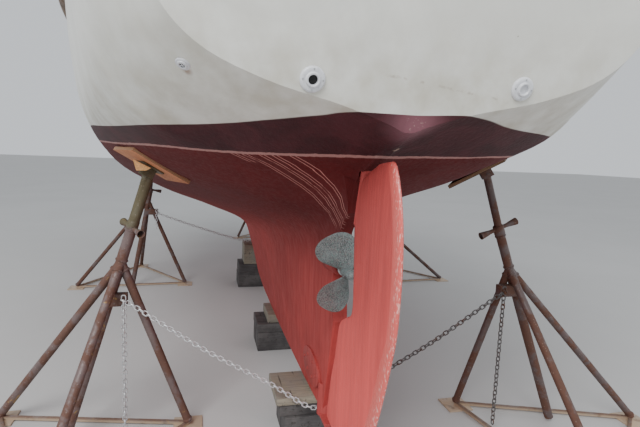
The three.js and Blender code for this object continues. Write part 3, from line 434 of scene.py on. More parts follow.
class Nodes:
    """A node tree under construction, with a short call for each kind of node."""

    def __init__(self, tree):
        self.tree = tree

    def add(self, kind, inputs=None, **settings):
        made = self.tree.nodes.new(kind)
        for name, value in settings.items():
            setattr(made, name, value)
        for key, value in (inputs or {}).items():
            self.feed(made.inputs[key], value)
        return made

    def feed(self, socket, value):
        if isinstance(value, bpy.types.NodeSocket):
            self.tree.links.new(value, socket)
        else:
            socket.default_value = value

    def place(self, scale=(1, 1, 1), shift=(0, 0, 0), turn=(0, 0, 0)):
        """Object coordinates, shifted, turned and scaled."""
        where = self.add("ShaderNodeTexCoord").outputs["Object"]
        mapping = self.add("ShaderNodeMapping", {"Vector": where, "Location": shift, "Rotation": turn,
                                                 "Scale": scale})
        return mapping.outputs["Vector"]

    def math(self, operation, a, b=0.0, c=0.0):
        return self.add("ShaderNodeMath", {0: a, 1: b, 2: c}, operation=operation).outputs["Value"]

    def times(self, value, *factors):
        """The product of values."""
        for factor in factors:
            value = self.math("MULTIPLY", value, factor)
        return value

    def noise(self, vector, scale, detail=4.0, rough=0.55, distortion=0.0):
        made = self.add("ShaderNodeTexNoise", {"Vector": vector, "Scale": scale, "Detail": detail,
                                               "Roughness": rough, "Distortion": distortion})
        return made.outputs["Fac"]

    def ramp(self, value, low, high, start=0.0, end=1.0):
        """A smooth step from start to end as the value goes from low to high."""
        made = self.add("ShaderNodeMapRange", {"Value": value, "From Min": low, "From Max": high,
                                               "To Min": start, "To Max": end})
        made.interpolation_type = "SMOOTHSTEP"
        return made.outputs["Result"]

    def mix(self, share, a, b):
        """A colour between two colours."""
        made = self.add("ShaderNodeMix", data_type="RGBA")
        for index, value in ((0, share), (6, a), (7, b)):
            self.feed(made.inputs[index], value)
        return made.outputs[2]

    def blend(self, share, a, b):
        """A value between two values."""
        made = self.add("ShaderNodeMix", {0: share, 2: a, 3: b}, data_type="FLOAT")
        return made.outputs[0]

    def effect(self, group, **inputs):
        made = self.add("ShaderNodeGroup", node_tree=group)
        for key, value in inputs.items():
            self.feed(made.inputs[key.replace("_", " ")], value)
        return made.outputs

    def mottle(self, vector, scale, low, high):
        return self.effect(mottle_group(), Vector=vector, Scale=scale, Low=low, High=high)["Value"]

    def streaks(self, vector, fineness, length):
        return self.effect(streaks_group(), Vector=vector, Fineness=fineness, Length=length)["Value"]

    def specks(self, vector, scale, size, share):
        return self.effect(specks_group(), Vector=vector, Scale=scale, Size=size, Share=share)["Value"]

    def bump(self, height, distance, strength=1.0):
        made = self.add("ShaderNodeBump", {"Height": height, "Distance": distance, "Strength": strength})
        return made.outputs["Normal"]

    def attribute(self, name):
        return self.add("ShaderNodeAttribute", attribute_name=name).outputs["Fac"]


def rgb(color):
    """A property's colour with full alpha."""
    return (*color[:3], 1.0)


def tone(color, factor):
    """A darker or lighter version of a colour."""
    return (*(min(channel * factor, 1.0) for channel in color[:3]), 1.0)


def effect_group(name, inputs, outputs, build):
    """A shader node group, built once."""
    known = bpy.data.node_groups.get(name)
    if known:
        return known
    tree = bpy.data.node_groups.new(name, "ShaderNodeTree")
    for labels, side in ((inputs, "INPUT"), (outputs, "OUTPUT")):
        for label in labels:
            kind = label if label in ("Vector", "Color") else "Float"
            tree.interface.new_socket(name=label, in_out=side, socket_type="NodeSocket" + kind)
    given = tree.nodes.new("NodeGroupInput").outputs
    results = build(Nodes(tree), given)
    end = tree.nodes.new("NodeGroupOutput")
    for label, socket in results.items():
        tree.links.new(socket, end.inputs[label])
    return tree


def streaks_group():
    """Long thin brush or drawing marks along Z."""
    def build(nodes, given):
        stretch = nodes.add("ShaderNodeCombineXYZ", {
            "X": given["Fineness"], "Y": given["Fineness"],
            "Z": nodes.math("DIVIDE", given["Fineness"], given["Length"]),
        })
        scaled = nodes.add("ShaderNodeVectorMath", {0: given["Vector"], 1: stretch.outputs[0]},
                           operation="MULTIPLY")
        value = nodes.noise(scaled.outputs[0], 1.0, 5.0, 0.6)
        return {"Value": nodes.ramp(value, 0.3, 0.7)}

    return effect_group("Streaks", ("Vector", "Fineness", "Length"), ("Value",), build)


def mottle_group():
    """Soft uneven patches."""
    def build(nodes, given):
        value = nodes.noise(given["Vector"], given["Scale"], 5.0, 0.6, 0.8)
        return {"Value": nodes.ramp(value, given["Low"], given["High"])}

    return effect_group("Mottle", ("Vector", "Scale", "Low", "High"), ("Value",), build)


def specks_group():
    """Small separate spots."""
    def build(nodes, given):
        cells = nodes.add("ShaderNodeTexVoronoi", {"Vector": given["Vector"], "Scale": given["Scale"]})
        chosen = nodes.add("ShaderNodeSeparateColor", {"Color": cells.outputs["Color"]}).outputs["Red"]
        size = nodes.times(given["Size"], nodes.math("GREATER_THAN", given["Share"], chosen))
        return {"Value": nodes.math("LESS_THAN", cells.outputs["Distance"], size)}

    return effect_group("Specks", ("Vector", "Scale", "Size", "Share"), ("Value",), build)


def rust_group():
    """Rust with scale: its colour, where it lies and how high it stands."""
    def build(nodes, given):
        coarse = nodes.noise(given["Vector"], given["Scale"], 8.0, 0.65, 0.3)
        fine = nodes.noise(given["Vector"], nodes.times(given["Scale"], 9.0), 4.0, 0.7)
        edge = nodes.math("SUBTRACT", 1.0, given["Amount"])
        mask = nodes.ramp(nodes.math("SUBTRACT", coarse, edge), -0.06, 0.06)
        warm = nodes.mix(fine, RUST_DARK, RUST_BRIGHT)
        return {"Mask": mask, "Color": warm, "Height": nodes.times(mask, fine)}

    return effect_group("Rust", ("Vector", "Scale", "Amount"), ("Mask", "Color", "Height"), build)


def grain_group():
    """Wood grain that runs along X."""
    def build(nodes, given):
        stretch = nodes.add("ShaderNodeCombineXYZ", {
            "X": nodes.math("DIVIDE", given["Fineness"], 14.0), "Y": given["Fineness"],
            "Z": given["Fineness"],
        })
        scaled = nodes.add("ShaderNodeVectorMath", {0: given["Vector"], 1: stretch.outputs[0]},
                           operation="MULTIPLY").outputs[0]
        broad = nodes.noise(scaled, 0.35, 3.0, 0.5, 1.2)
        rings = nodes.math("FRACT", nodes.times(broad, 7.0))
        pores = nodes.noise(scaled, 3.0, 6.0, 0.7)
        value = nodes.math("ADD", nodes.times(rings, 0.55), nodes.times(pores, 0.45))
        return {"Value": value, "Pores": nodes.ramp(pores, 0.35, 0.6)}

    return effect_group("Grain", ("Vector", "Fineness"), ("Value", "Pores"), build)


class Finish(Nodes):
    """A material under construction."""

    def __init__(self, name, metallic=0.0, coat=0.0, specular=0.5):
        self.material = bpy.data.materials.new(name)
        self.material.use_nodes = True
        super().__init__(self.material.node_tree)
        self.shader = self.tree.nodes["Principled BSDF"].inputs
        fixed = {"Metallic": metallic, "Coat Weight": coat, "Coat Roughness": COAT_ROUGHNESS,
                 "Specular IOR Level": specular}
        for key, value in fixed.items():
            self.shader[key].default_value = value

    def done(self, color, rough, height=None, depth=0.0, strength=1.0):
        """The material with its colour, its roughness and, where a height is given, its relief."""
        self.feed(self.shader["Base Color"], color)
        self.feed(self.shader["Roughness"], rough)
        if height is not None:
            self.feed(self.shader["Normal"], self.bump(height, depth, strength))
        return self.material


# Settings that a user would change

def color_setting(name, description, default):
    return bpy.props.FloatVectorProperty(name=name, description=description, default=default,
                                         subtype="COLOR", size=3, min=0.0, max=1.0)


def length_setting(name, description, default):
    return bpy.props.FloatProperty(name=name, description=description, default=default, min=0.0,
                                   subtype="DISTANCE", unit="LENGTH", precision=4)


class YachtPaintSettings(bpy.types.PropertyGroup):
    """Colours of the hull's and deck's paint."""

    topsides: color_setting("Topsides", "Gelcoat above the boot top", (0.80, 0.80, 0.745))
    boot_top: color_setting("Boot top", "Band above the antifouling", (0.056, 0.011, 0.015))
    waterline: color_setting("Waterline", "Thin line under the boot top", (0.42, 0.22, 0.20))
    antifouling: color_setting("Antifouling", "Bottom paint", (0.44, 0.058, 0.052))
    # Painted shade: a darker antifouling for the bottom's upper part, under the turn of the hull
    antifouling_painted_shade: color_setting("Top antifouling", "Paint by the waterline", (0.105, 0.009, 0.0095))
    rudder: color_setting("Rudder", "Bottom paint on the rudder", (0.54, 0.070, 0.062))
    deck: color_setting("Deck", "Deck and cabin gelcoat", (0.66, 0.64, 0.57))
    deck_grip: color_setting("Deck grip", "Non-slip panels", (0.47, 0.46, 0.41))
    waterline_height: length_setting("Waterline height", "Height of the thin line", 0.008)


class YachtTimberSettings(bpy.types.PropertyGroup):
    """Colours of the timber."""

    teak: color_setting("Teak", "Weathered teak of the rails", (0.30, 0.21, 0.15))
    varnish: color_setting("Varnished teak", "Tiller, lids and washboards", (0.27, 0.10, 0.035))
    blocks: color_setting("Keel blocks", "Dark timber under the keel", (0.062, 0.056, 0.056))
    plywood: color_setting("Plywood", "Pads on the stands", (0.62, 0.25, 0.115))
    plank: length_setting("Plank width", "Width of a teak plank on the locker lids", 0.042)


class YachtMetalSettings(bpy.types.PropertyGroup):
    """Colours of the metalwork and the size of a chain link."""

    stand: color_setting("Stand paint", "Old paint between the rust on the jack stands", (0.15, 0.106, 0.10))
    stand_patch: color_setting("Stand patches", "Bare yellow primer on the stands", (0.36, 0.22, 0.075))
    zinc: color_setting("Zinc", "Galvanised chain", (0.72, 0.73, 0.74))
    bronze: color_setting("Propeller", "Dull grey-green bronze", (0.15, 0.165, 0.163))
    stainless: color_setting("Stainless steel", "Rails and rigging", (0.62, 0.63, 0.64))
    alloy: color_setting("Spar alloy", "Anodised mast and boom", (0.58, 0.59, 0.60))
    link_wire: length_setting("Link wire", "Thickness of a chain link's wire", 0.0065)
    link_width: length_setting("Link width", "Outside width of a chain link", 0.026)


class YachtStageSettings(bpy.types.PropertyGroup):
    """The floor, the lights and the camera."""

    floor: color_setting("Floor", "Plain pale floor", (0.52, 0.515, 0.505))
    sky: bpy.props.FloatProperty(name="Sky", description="Strength of the light from all round",
                                 default=0.88, min=0.0)
    key: bpy.props.FloatProperty(name="Key light", description="Power of the large soft light",
                                 default=900.0, min=0.0, subtype="POWER", unit="POWER")
    focal: bpy.props.FloatProperty(name="Focal length", description="Camera's focal length",
                                   default=26.44, min=1.0, subtype="DISTANCE_CAMERA", unit="CAMERA")
    yaw: bpy.props.FloatProperty(name="Yaw", description="Camera's turn to starboard of forward",
                                 default=math.radians(14.3), subtype="ANGLE", unit="ROTATION")
    pitch: bpy.props.FloatProperty(name="Pitch", description="Camera's tilt below level",
                                   default=math.radians(7.1), subtype="ANGLE", unit="ROTATION")
    roll: bpy.props.FloatProperty(name="Roll", description="Camera's roll",
                                  default=math.radians(2.3), subtype="ANGLE", unit="ROTATION")


# Materials

# Painted lines: [X, Z] in metres in the boat's frame, aft to forward
LINE_X = (-0.1, 1.95)
LINE_Z = (-0.02, 0.16)
LINE_RISE = 0.006
BOOT_PORT = ((-0.066, 0.123), (-0.002, 0.113), (0.088, 0.096), (0.165, 0.085), (0.246, 0.079),
             (0.385, 0.077), (1.915, 0.122))
BOOT_STARBOARD = ((-0.068, 0.131), (0.083, 0.111), (0.19, 0.109), (1.915, 0.13))
LINE_PORT = ((0.05, 0.002), (0.162, 0.0), (0.306, -0.003), (0.376, 0.001), (0.518, 0.010),
             (0.991, 0.016), (1.829, 0.031))
LINE_STARBOARD = ((0.05, 0.002), (0.165, 0.004), (0.25, 0.010), (0.281, 0.017), (0.4, 0.024), (1.829, 0.036))


def painted_height(nodes, x, points):
    """The height of a painted line at X."""
    share = nodes.add("ShaderNodeMapRange", {"Value": x, "From Min": LINE_X[0], "From Max": LINE_X[1]})
    curve = nodes.add("ShaderNodeFloatCurve", {"Value": share.outputs["Result"]})
    track = curve.mapping.curves[0]
    placed = [((px - LINE_X[0]) / (LINE_X[1] - LINE_X[0]), (pz - LINE_Z[0]) / (LINE_Z[1] - LINE_Z[0]))
              for px, pz in points]
    ends = [(0.0, placed[0][1]), (1.0, placed[-1][1])]
    for point, place in zip(track.points, ends):
        point.location = place
    for place in placed:
        track.points.new(*place)
    curve.mapping.update()
    height = nodes.math("MULTIPLY_ADD", curve.outputs["Value"], LINE_Z[1] - LINE_Z[0], LINE_Z[0])
    beyond = nodes.math("MAXIMUM", nodes.math("SUBTRACT", x, LINE_X[1]), 0.0)
    return nodes.math("MULTIPLY_ADD", beyond, LINE_RISE, height)


def near_point(nodes, where, place, radius):
    """1 at a place in the boat's frame, falling to 0 at a radius."""
    away = nodes.add("ShaderNodeVectorMath", {0: where, 1: Vector(place) / 1000}, operation="DISTANCE")
    return nodes.ramp(away.outputs["Value"], radius, 0.0)


def boat_coordinates(nodes):
    """Object coordinates measured from the boat's own frame, and their three parts."""
    where = nodes.place(shift=tuple(-BOAT_ORIGIN))
    return where, nodes.add("ShaderNodeSeparateXYZ", {"Vector": where}).outputs


def scratch_mask(nodes, where, axes):
    """Thin pale lines that run down the port quarter and turn into the keel."""
    deeper = nodes.math("MAXIMUM", nodes.math("SUBTRACT", -0.205, axes["Z"]), 0.0)
    spread = nodes.math("MULTIPLY_ADD", axes["X"], 1.4, axes["Y"])
    spread = nodes.math("MULTIPLY_ADD", deeper, 0.9, spread)
    cell = nodes.math("MULTIPLY_ADD", nodes.noise(where, 4.0, 2.0), 0.9, nodes.times(spread, 35.0))
    number = nodes.math("FLOOR", cell)
    jitter = nodes.math("MULTIPLY_ADD", nodes.math("FRACT", nodes.times(number, 0.618)), 0.4, 0.3)
    away = nodes.math("ABSOLUTE", nodes.math("SUBTRACT", nodes.math("FRACT", cell), jitter))
    kept = nodes.math("GREATER_THAN", nodes.math("FRACT", nodes.times(number, 0.383)), 0.22)
    faded_and_painted_light = nodes.ramp(nodes.noise(where, 13.0, 3.0), 0.3, 0.42, 0.25, 1.0)
    forward = nodes.ramp(axes["Y"], 0.36, 0.44, 0.90, 0.97)
    band = nodes.times(nodes.ramp(spread, 0.575, 0.6),
                      nodes.ramp(nodes.math("SUBTRACT", forward, spread), 0.0, 0.015))
    low = nodes.times(nodes.ramp(axes["Z"], -0.315, -0.27), nodes.ramp(axes["Z"], 0.01, 0.0))
    port = nodes.ramp(axes["Y"], 0.01, 0.02)
    return nodes.times(nodes.ramp(away, 0.105, 0.055), kept, faded_and_painted_light, band, low, port)


def hull_paint(paint):
    """Gelcoat, boot top, waterline and antifouling, parted by their heights on each side."""
    nodes = Finish("hull_paint", specular=0.3)
    where, axes = boat_coordinates(nodes)
    waver = nodes.math("MULTIPLY_ADD", nodes.noise(where, 22.0, 3.0), 0.005, -0.0025)
    height = nodes.math("ADD", axes["Z"], waver)
    to_port = nodes.ramp(axes["Y"], -0.18, 0.0)
    boot_edge = nodes.blend(to_port, painted_height(nodes, axes["X"], BOOT_STARBOARD),
                            painted_height(nodes, axes["X"], BOOT_PORT))
    line_middle = nodes.blend(to_port, painted_height(nodes, axes["X"], LINE_STARBOARD),
                              painted_height(nodes, axes["X"], LINE_PORT))
    above_boot = nodes.ramp(nodes.math("SUBTRACT", axes["Z"], boot_edge), -0.0012, 0.0012)
    from_line = nodes.math("SUBTRACT", height, line_middle)
    under_line = nodes.ramp(from_line, 0.0012, -0.0012)
    ragged = nodes.math("MULTIPLY_ADD", nodes.noise(where, 90.0, 4.0), 0.0035, -0.0018)
    on_line = nodes.ramp(nodes.math("ADD", nodes.math("ABSOLUTE", from_line), ragged),
                         paint.waterline_height * 0.62, paint.waterline_height * 0.4)

    # Topsides: soft swirls, faint polishing marks and old stains
    swirl = nodes.mottle(where, 2.6, 0.32, 0.68)
    polish = nodes.streaks(nodes.place(turn=(0.5, 0.35, 0.2)), 34.0, 9.0)
    gel = nodes.mix(swirl, tone(paint.topsides, 0.93), tone(paint.topsides, 1.04))
    gel = nodes.mix(nodes.times(polish, 0.22), gel, tone(paint.topsides, 0.86))
    grime = nodes.times(nodes.ramp(nodes.math("SUBTRACT", axes["Z"], boot_edge), 0.34, 0.0), 0.6)
    grime = nodes.times(grime, nodes.ramp(nodes.noise(where, 9.0, 6.0), 0.25, 0.75))
    gel = nodes.mix(grime, gel, GRIME)
    stain = nodes.times(near_point(nodes, where, (4, 620, 208), 0.022),
                       nodes.ramp(nodes.noise(where, 60.0), 0.3, 0.6))
    gel = nodes.mix(nodes.times(stain, 0.75), gel, RUST_RUN)
    crack_at = nodes.math("MULTIPLY_ADD", axes["Y"], 0.119, 0.2132)
    wander = nodes.math("MULTIPLY_ADD", nodes.noise(where, 12.0, 5.0), 0.022, -0.011)
    crack_at = nodes.math("ADD", crack_at, wander)
    crack = nodes.ramp(nodes.math("ABSOLUTE", nodes.math("SUBTRACT", axes["Z"], crack_at)), 0.006, 0.0)
    for low, high, value in ((-0.31, -0.27, axes["Y"]), (0.14, 0.11, axes["Y"]), (-0.05, -0.07, axes["X"])):
        crack = nodes.times(crack, nodes.ramp(value, low, high))
    crack = nodes.times(crack, nodes.ramp(nodes.noise(where, 45.0, 6.0), 0.45, 0.7, 0.0, 0.5))
    gel = nodes.mix(crack, gel, CRACK)
    specks = nodes.specks(where, 14.0, 0.035, 0.16)
    gel = nodes.mix(nodes.times(specks, 0.45), gel, SPECK)

    # Boot top: dark, rubbed and a little streaked, with painted light on its tip at the transom
    rubbed = nodes.mottle(where, 7.0, 0.35, 0.7)
    boot = nodes.mix(rubbed, tone(paint.boot_top, 0.72), tone(paint.boot_top, 1.25))
    worn_tip = nodes.times(near_point(nodes, where, (-60, -20, 92), 0.05),
                          nodes.ramp(nodes.noise(where, 120.0, 4.0), 0.58, 0.66))
    # Painted light: the boot top's tip on the transom is lighter, as if lit from the sky
    faded_and_painted_light = nodes.times(near_point(nodes, where, (-60, -20, 92), 0.13), 0.95)
    boot = nodes.mix(faded_and_painted_light, boot, BOOT_PAINTED_LIGHT)
    boot = nodes.mix(nodes.times(worn_tip, 0.6), boot, BOOT_RUBBED)
    chip = nodes.times(near_point(nodes, where, (83, -23, 25), 0.02),
                      nodes.ramp(nodes.noise(where, 80.0, 3.0), 0.4, 0.5))
    boot = nodes.mix(chip, boot, BOOT_CHIP)

    # Antifouling: brushed, with the old coats showing, pale scratches on the port quarter and painted shade
    # up top
    brush = nodes.streaks(where, 55.0, 16.0)
    coats = nodes.mottle(where, 3.4, 0.3, 0.72)
    bottom = nodes.mix(coats, tone(paint.antifouling, 0.85), tone(paint.antifouling, 1.1))
    shaded_upper = nodes.mix(coats, tone(paint.antifouling_painted_shade, 0.85), tone(paint.antifouling_painted_shade, 1.15))
    # Painted shade: the bottom takes the darker colour from the keel up towards the waterline
    bottom = nodes.mix(nodes.ramp(axes["Z"], -0.66, -0.2), bottom, shaded_upper)
    bottom = nodes.mix(nodes.times(brush, 0.22), bottom, tone(paint.antifouling_painted_shade, 1.1))
    scratches = scratch_mask(nodes, where, axes)
    bottom = nodes.mix(nodes.times(scratches, 0.8), bottom, SCRATCH)

    below = nodes.mix(under_line, boot, bottom)
    below = nodes.mix(on_line, below, rgb(paint.waterline))
    dull = nodes.blend(under_line, 0.6, nodes.blend(brush, 0.62, 0.8))
    rough = nodes.blend(above_boot, dull, nodes.blend(polish, 0.3, 0.42))
    relief = nodes.times(nodes.math("ADD", brush, coats), nodes.math("SUBTRACT", 1.0, above_boot))
    relief = nodes.math("ADD", relief, nodes.times(polish, 0.12))
    return nodes.done(nodes.mix(above_boot, below, gel), rough, relief, 0.0011, 0.8)


def antifouling_paint(paint, name, color, edge_and_painted_light):
    """Bottom paint on a fitting or the rudder; where it has an edge, a glossy one with a painted highlight
    and glints, and painted light low down.
    """
    nodes = Finish(name)
    where, axes = boat_coordinates(nodes)
    brush = nodes.streaks(where, 110.0, 26.0)
    broad = nodes.streaks(where, 26.0, 14.0)
    body = nodes.mix(broad, tone(color, 0.86), tone(color, 1.1))
    body = nodes.mix(nodes.times(brush, 0.34), body, tone(color, 0.6))
    rough = nodes.blend(brush, 0.55, 0.72)
    if edge_and_painted_light:
        # Painted light and shade: lighter towards the foot, darker up under the hull
        faded_and_painted_light = nodes.mix(broad, tone(color, 1.3), tone(color, 1.62))
        body = nodes.mix(nodes.times(nodes.ramp(axes["Z"], -0.3, -0.95), 0.9), body, faded_and_painted_light)
        chord = nodes.attribute("chord")
        # Painted highlight along the glossy trailing edge, with painted glints on its rim
        edge = nodes.ramp(chord, 0.87, 0.91)
        body = nodes.mix(nodes.times(edge, 0.85), body, EDGE_PAINTED_HIGHLIGHT)
        painted_glints = nodes.ramp(nodes.noise(nodes.place(scale=(1, 1, 0.3)), 190.0, 4.0), 0.53, 0.62)
        wear_and_glints = nodes.times(painted_glints, nodes.ramp(chord, 0.92, 0.96))
        body = nodes.mix(nodes.times(wear_and_glints, 0.7), body, EDGE_PAINTED_GLINT)
        rough = nodes.blend(edge, rough, 0.2)
    pitted = nodes.math("ADD", brush, nodes.times(nodes.noise(where, 120.0, 3.0), 0.6))
    return nodes.done(body, rough, pitted, 0.0009, 0.8)


def gelcoat(name, color, grip=None):
    """Moulded gelcoat, with a raised non-slip pattern where a grip colour is given."""
    nodes = Finish(name, coat=0.15)
    where, axes = boat_coordinates(nodes)
    cloud = nodes.mottle(where, 3.0, 0.3, 0.7)
    body = nodes.mix(cloud, tone(color, 0.94), tone(color, 1.03))
    dirt = nodes.ramp(nodes.noise(where, 11.0, 7.0, 0.65), 0.52, 0.78, 0.0, 0.3)
    body = nodes.mix(dirt, body, tone(color, 0.55))
    height = nodes.times(cloud, 0.1)
    rough = nodes.blend(dirt, 0.34, 0.6)
    if grip:
        diamonds = nodes.add("ShaderNodeTexVoronoi", {"Vector": where, "Scale": 260.0, "Randomness": 0.0})
        studs = nodes.ramp(diamonds.outputs["Distance"], 0.42, 0.22)
        side = nodes.math("ABSOLUTE", axes["Y"])
        along = nodes.math("FRACT", nodes.times(axes["X"], 1.25))
        normal = nodes.add("ShaderNodeNewGeometry").outputs["Normal"]
        level = nodes.add("ShaderNodeSeparateXYZ", {"Vector": normal}).outputs["Z"]
        panel = nodes.times(nodes.ramp(side, 0.06, 0.07), nodes.ramp(along, 0.0, 0.03),
                            nodes.ramp(along, 1.0, 0.95), nodes.ramp(level, 0.9, 0.97))
        body = nodes.mix(panel, body, nodes.mix(studs, tone(grip, 0.8), rgb(grip)))
        height = nodes.math("ADD", height, nodes.times(studs, panel))
        rough = nodes.blend(panel, rough, 0.75)
    return nodes.done(body, rough, height, 0.0008, 0.7)


def timber(name, color, turn=(0, 0, 0), fineness=60.0, varnish=0.0, weathered=0.0, plank=0.0):
    """Wood with its grain along X after a turn, in planks where a width is given."""
    nodes = Finish(name, coat=varnish)
    where = nodes.place(turn=turn)
    grain = nodes.effect(grain_group(), Vector=where, Fineness=fineness)
    body = nodes.mix(grain["Value"], tone(color, 0.55), tone(color, 1.35))
    body = nodes.mix(nodes.times(grain["Pores"], 0.25), body, tone(color, 0.4))
    height = grain["Value"]
    rough = nodes.blend(grain["Pores"], 0.62, 0.8)
    if varnish:
        rough = nodes.blend(grain["Pores"], 0.28, 0.42)
    if weathered:
        grey = nodes.ramp(nodes.noise(nodes.place(), 7.0, 6.0, 0.6), 0.35, 0.7, 0.0, weathered)
        body = nodes.mix(grey, body, GREY_WOOD)
        dark = nodes.ramp(nodes.noise(nodes.place(), 16.0, 7.0, 0.7), 0.58, 0.75, 0.0, 0.6 * weathered)
        body = nodes.mix(dark, body, DARK_WOOD)
        checks = nodes.ramp(nodes.noise(nodes.place(turn=turn, scale=(0.05, 1, 1)), 55.0, 3.0), 0.62, 0.66)
        body = nodes.mix(nodes.times(checks, 0.7), body, WOOD_CHECK)
        height = nodes.math("SUBTRACT", height, checks)
    if plank:
        across = nodes.add("ShaderNodeSeparateXYZ", {"Vector": where}).outputs["Y"]
        cell = nodes.math("DIVIDE", across, plank)
        off_middle = nodes.math("SUBTRACT", nodes.math("FRACT", cell), 0.5)
        seam = nodes.ramp(nodes.math("ABSOLUTE", off_middle), 0.44, 0.465)
        board = nodes.math("FRACT", nodes.times(nodes.math("FLOOR", cell), 0.618))
        body = nodes.mix(nodes.times(board, 0.3), body, tone(color, 0.65))
        body = nodes.mix(seam, body, CAULKING)
        height = nodes.math("SUBTRACT", height, nodes.times(seam, 2.0))
    return nodes.done(body, rough, height, 0.0012, 0.6 if varnish else 0.9)


def plywood(name, color):
    """Plywood: a warm face, with its layers showing on the edges."""
    nodes = Finish(name)
    where = nodes.place()
    grain = nodes.effect(grain_group(), Vector=nodes.place(turn=(0, 0, 0.7)), Fineness=48.0)
    face = nodes.mix(grain["Value"], tone(color, 0.6), tone(color, 1.25))
    water = nodes.mottle(where, 9.0, 0.4, 0.66)
    face = nodes.mix(nodes.times(water, 0.3), face, tone(color, 0.45))
    depth = nodes.attribute("ply")
    layer = nodes.math("PINGPONG", nodes.times(depth, 7.0), 1.0)
    edge = nodes.mix(nodes.ramp(layer, 0.35, 0.65), tone(color, 0.45), PLY_LAYER)
    on_edge = nodes.times(nodes.ramp(depth, 0.04, 0.08), nodes.ramp(depth, 0.96, 0.92))
    rough = nodes.blend(grain["Pores"], 0.6, 0.85)
    return nodes.done(nodes.mix(on_edge, face, edge), rough, grain["Value"], 0.0008, 0.8)


def rusty_steel(metal, name, patches, darkness=1.0, olive_above=None):
    """Old painted steel, rusted through, with patches of primer, dusty feet and perhaps an olive top."""
    nodes = Finish(name, metallic=0.15)
    where, axes = boat_coordinates(nodes)
    rust = nodes.effect(rust_group(), Vector=where, Scale=9.0, Amount=0.52)
    coat = nodes.mix(nodes.noise(where, 30.0, 5.0), tone(metal.stand, 0.7 * darkness),
                     tone(metal.stand, 1.35 * darkness))
    body = nodes.mix(rust["Mask"], coat, nodes.mix(0.35, rust["Color"], tone(metal.stand, darkness)))
    bare = nodes.mottle(where, 13.0, 0.72 - patches, 0.76 - patches)
    if olive_above is not None:
        olive = nodes.mix(nodes.noise(where, 24.0, 4.0), OLIVE_DARK, OLIVE)
        body = nodes.mix(nodes.ramp(axes["Z"], olive_above - 0.02, olive_above, 0.0, 0.85), body, olive)
    body = nodes.mix(nodes.times(bare, 0.8), body, rgb(metal.stand_patch))
    glints = nodes.specks(where, 120.0, 0.25, 0.12)
    body = nodes.mix(nodes.times(glints, 0.4), body, GLINT)
    dust = nodes.ramp(axes["Z"], -1.44, -1.458, 0.0, 0.95)
    dust = nodes.times(dust, nodes.ramp(nodes.noise(where, 14.0, 6.0), 0.2, 0.45))
    body = nodes.mix(dust, body, DUST)
    height = nodes.math("ADD", rust["Height"], nodes.times(nodes.noise(where, 140.0, 3.0), 0.4))
    return nodes.done(body, nodes.blend(rust["Mask"], 0.45, 0.85), height, 0.0012, 0.9)


def polished_metal(name, color, rough):
    """Drawn or polished metal with fine marks, fingerprints and a little tarnish."""
    nodes = Finish(name, metallic=1.0)
    where = nodes.place()
    drawn = nodes.streaks(where, 180.0, 60.0)
    prints = nodes.mottle(where, 14.0, 0.35, 0.7)
    body = nodes.mix(prints, tone(color, 0.86), tone(color, 1.05))
    brown = nodes.ramp(nodes.noise(where, 26.0, 6.0, 0.7), 0.66, 0.8, 0.0, 0.35)
    body = nodes.mix(brown, body, TARNISH)
    wear_and_glints = nodes.math("MULTIPLY_ADD", drawn, SCUFF, rough)
    return nodes.done(body, nodes.math("MULTIPLY_ADD", prints, SCUFF, wear_and_glints), drawn, 0.0002, 0.5)


def galvanised(metal, name):
    """Zinc on chain: bright crowns to port, darker and more rusted to starboard."""
    nodes = Finish(name, metallic=0.5)
    where, axes = boat_coordinates(nodes)
    spangle = nodes.add("ShaderNodeTexVoronoi", {"Vector": where, "Scale": 260.0})
    shade_of = nodes.add("ShaderNodeSeparateColor", {"Color": spangle.outputs["Color"]}).outputs["Red"]
    body = nodes.mix(shade_of, tone(metal.zinc, 0.75), tone(metal.zinc, 1.1))
    rust = nodes.effect(rust_group(), Vector=where, Scale=26.0, Amount=0.42)
    to_starboard = nodes.ramp(axes["Y"], 0.1, -0.15)
    body = nodes.mix(nodes.math("MULTIPLY_ADD", to_starboard, 0.8, 0.05), body, STARBOARD_ZINC)
    body = nodes.mix(nodes.times(rust["Mask"], nodes.blend(to_starboard, 0.15, 0.9)), body, rust["Color"])
    rough = nodes.blend(rust["Mask"], 0.38, 0.75)
    return nodes.done(body, rough, nodes.noise(where, 300.0, 3.0), 0.0004, 0.7)


def bronze(name, color):
    """Dull bronze, speckled grey, green and blue."""
    nodes = Finish(name, metallic=0.35)
    where = nodes.place()
    fine = nodes.noise(where, 230.0, 4.0, 0.7)
    body = nodes.mix(nodes.ramp(fine, 0.36, 0.64), tone(color, 0.42), tone(color, 1.7))
    hue = nodes.noise(where, 90.0, 3.0, 0.6)
    body = nodes.mix(nodes.ramp(hue, 0.55, 0.65, 0.0, 0.4), body, VERDIGRIS)
    hue = nodes.noise(nodes.place(shift=(3, 5, 7)), 150.0, 3.0, 0.6)
    body = nodes.mix(nodes.ramp(hue, 0.56, 0.66, 0.0, 0.4), body, COPPER_BLOOM)
    bloom = nodes.mottle(where, 18.0, 0.4, 0.7)
    body = nodes.mix(nodes.times(bloom, 0.3), body, BRONZE_BLOOM)
    return nodes.done(body, nodes.blend(fine, 0.5, 0.8), fine, 0.0009, 0.9)


def plastic(name, color, rough=0.35):
    """Moulded plastic, lightly soiled."""
    nodes = Finish(name)
    where = nodes.place()
    soil = nodes.ramp(nodes.noise(where, 55.0, 6.0, 0.65), 0.5, 0.72, 0.0, 0.35)
    body = nodes.mix(soil, rgb(color), tone(color, 0.45))
    grain = nodes.noise(where, 380.0, 2.0)
    return nodes.done(body, nodes.blend(soil, rough, rough + 0.25), grain, 0.0002, 0.5)


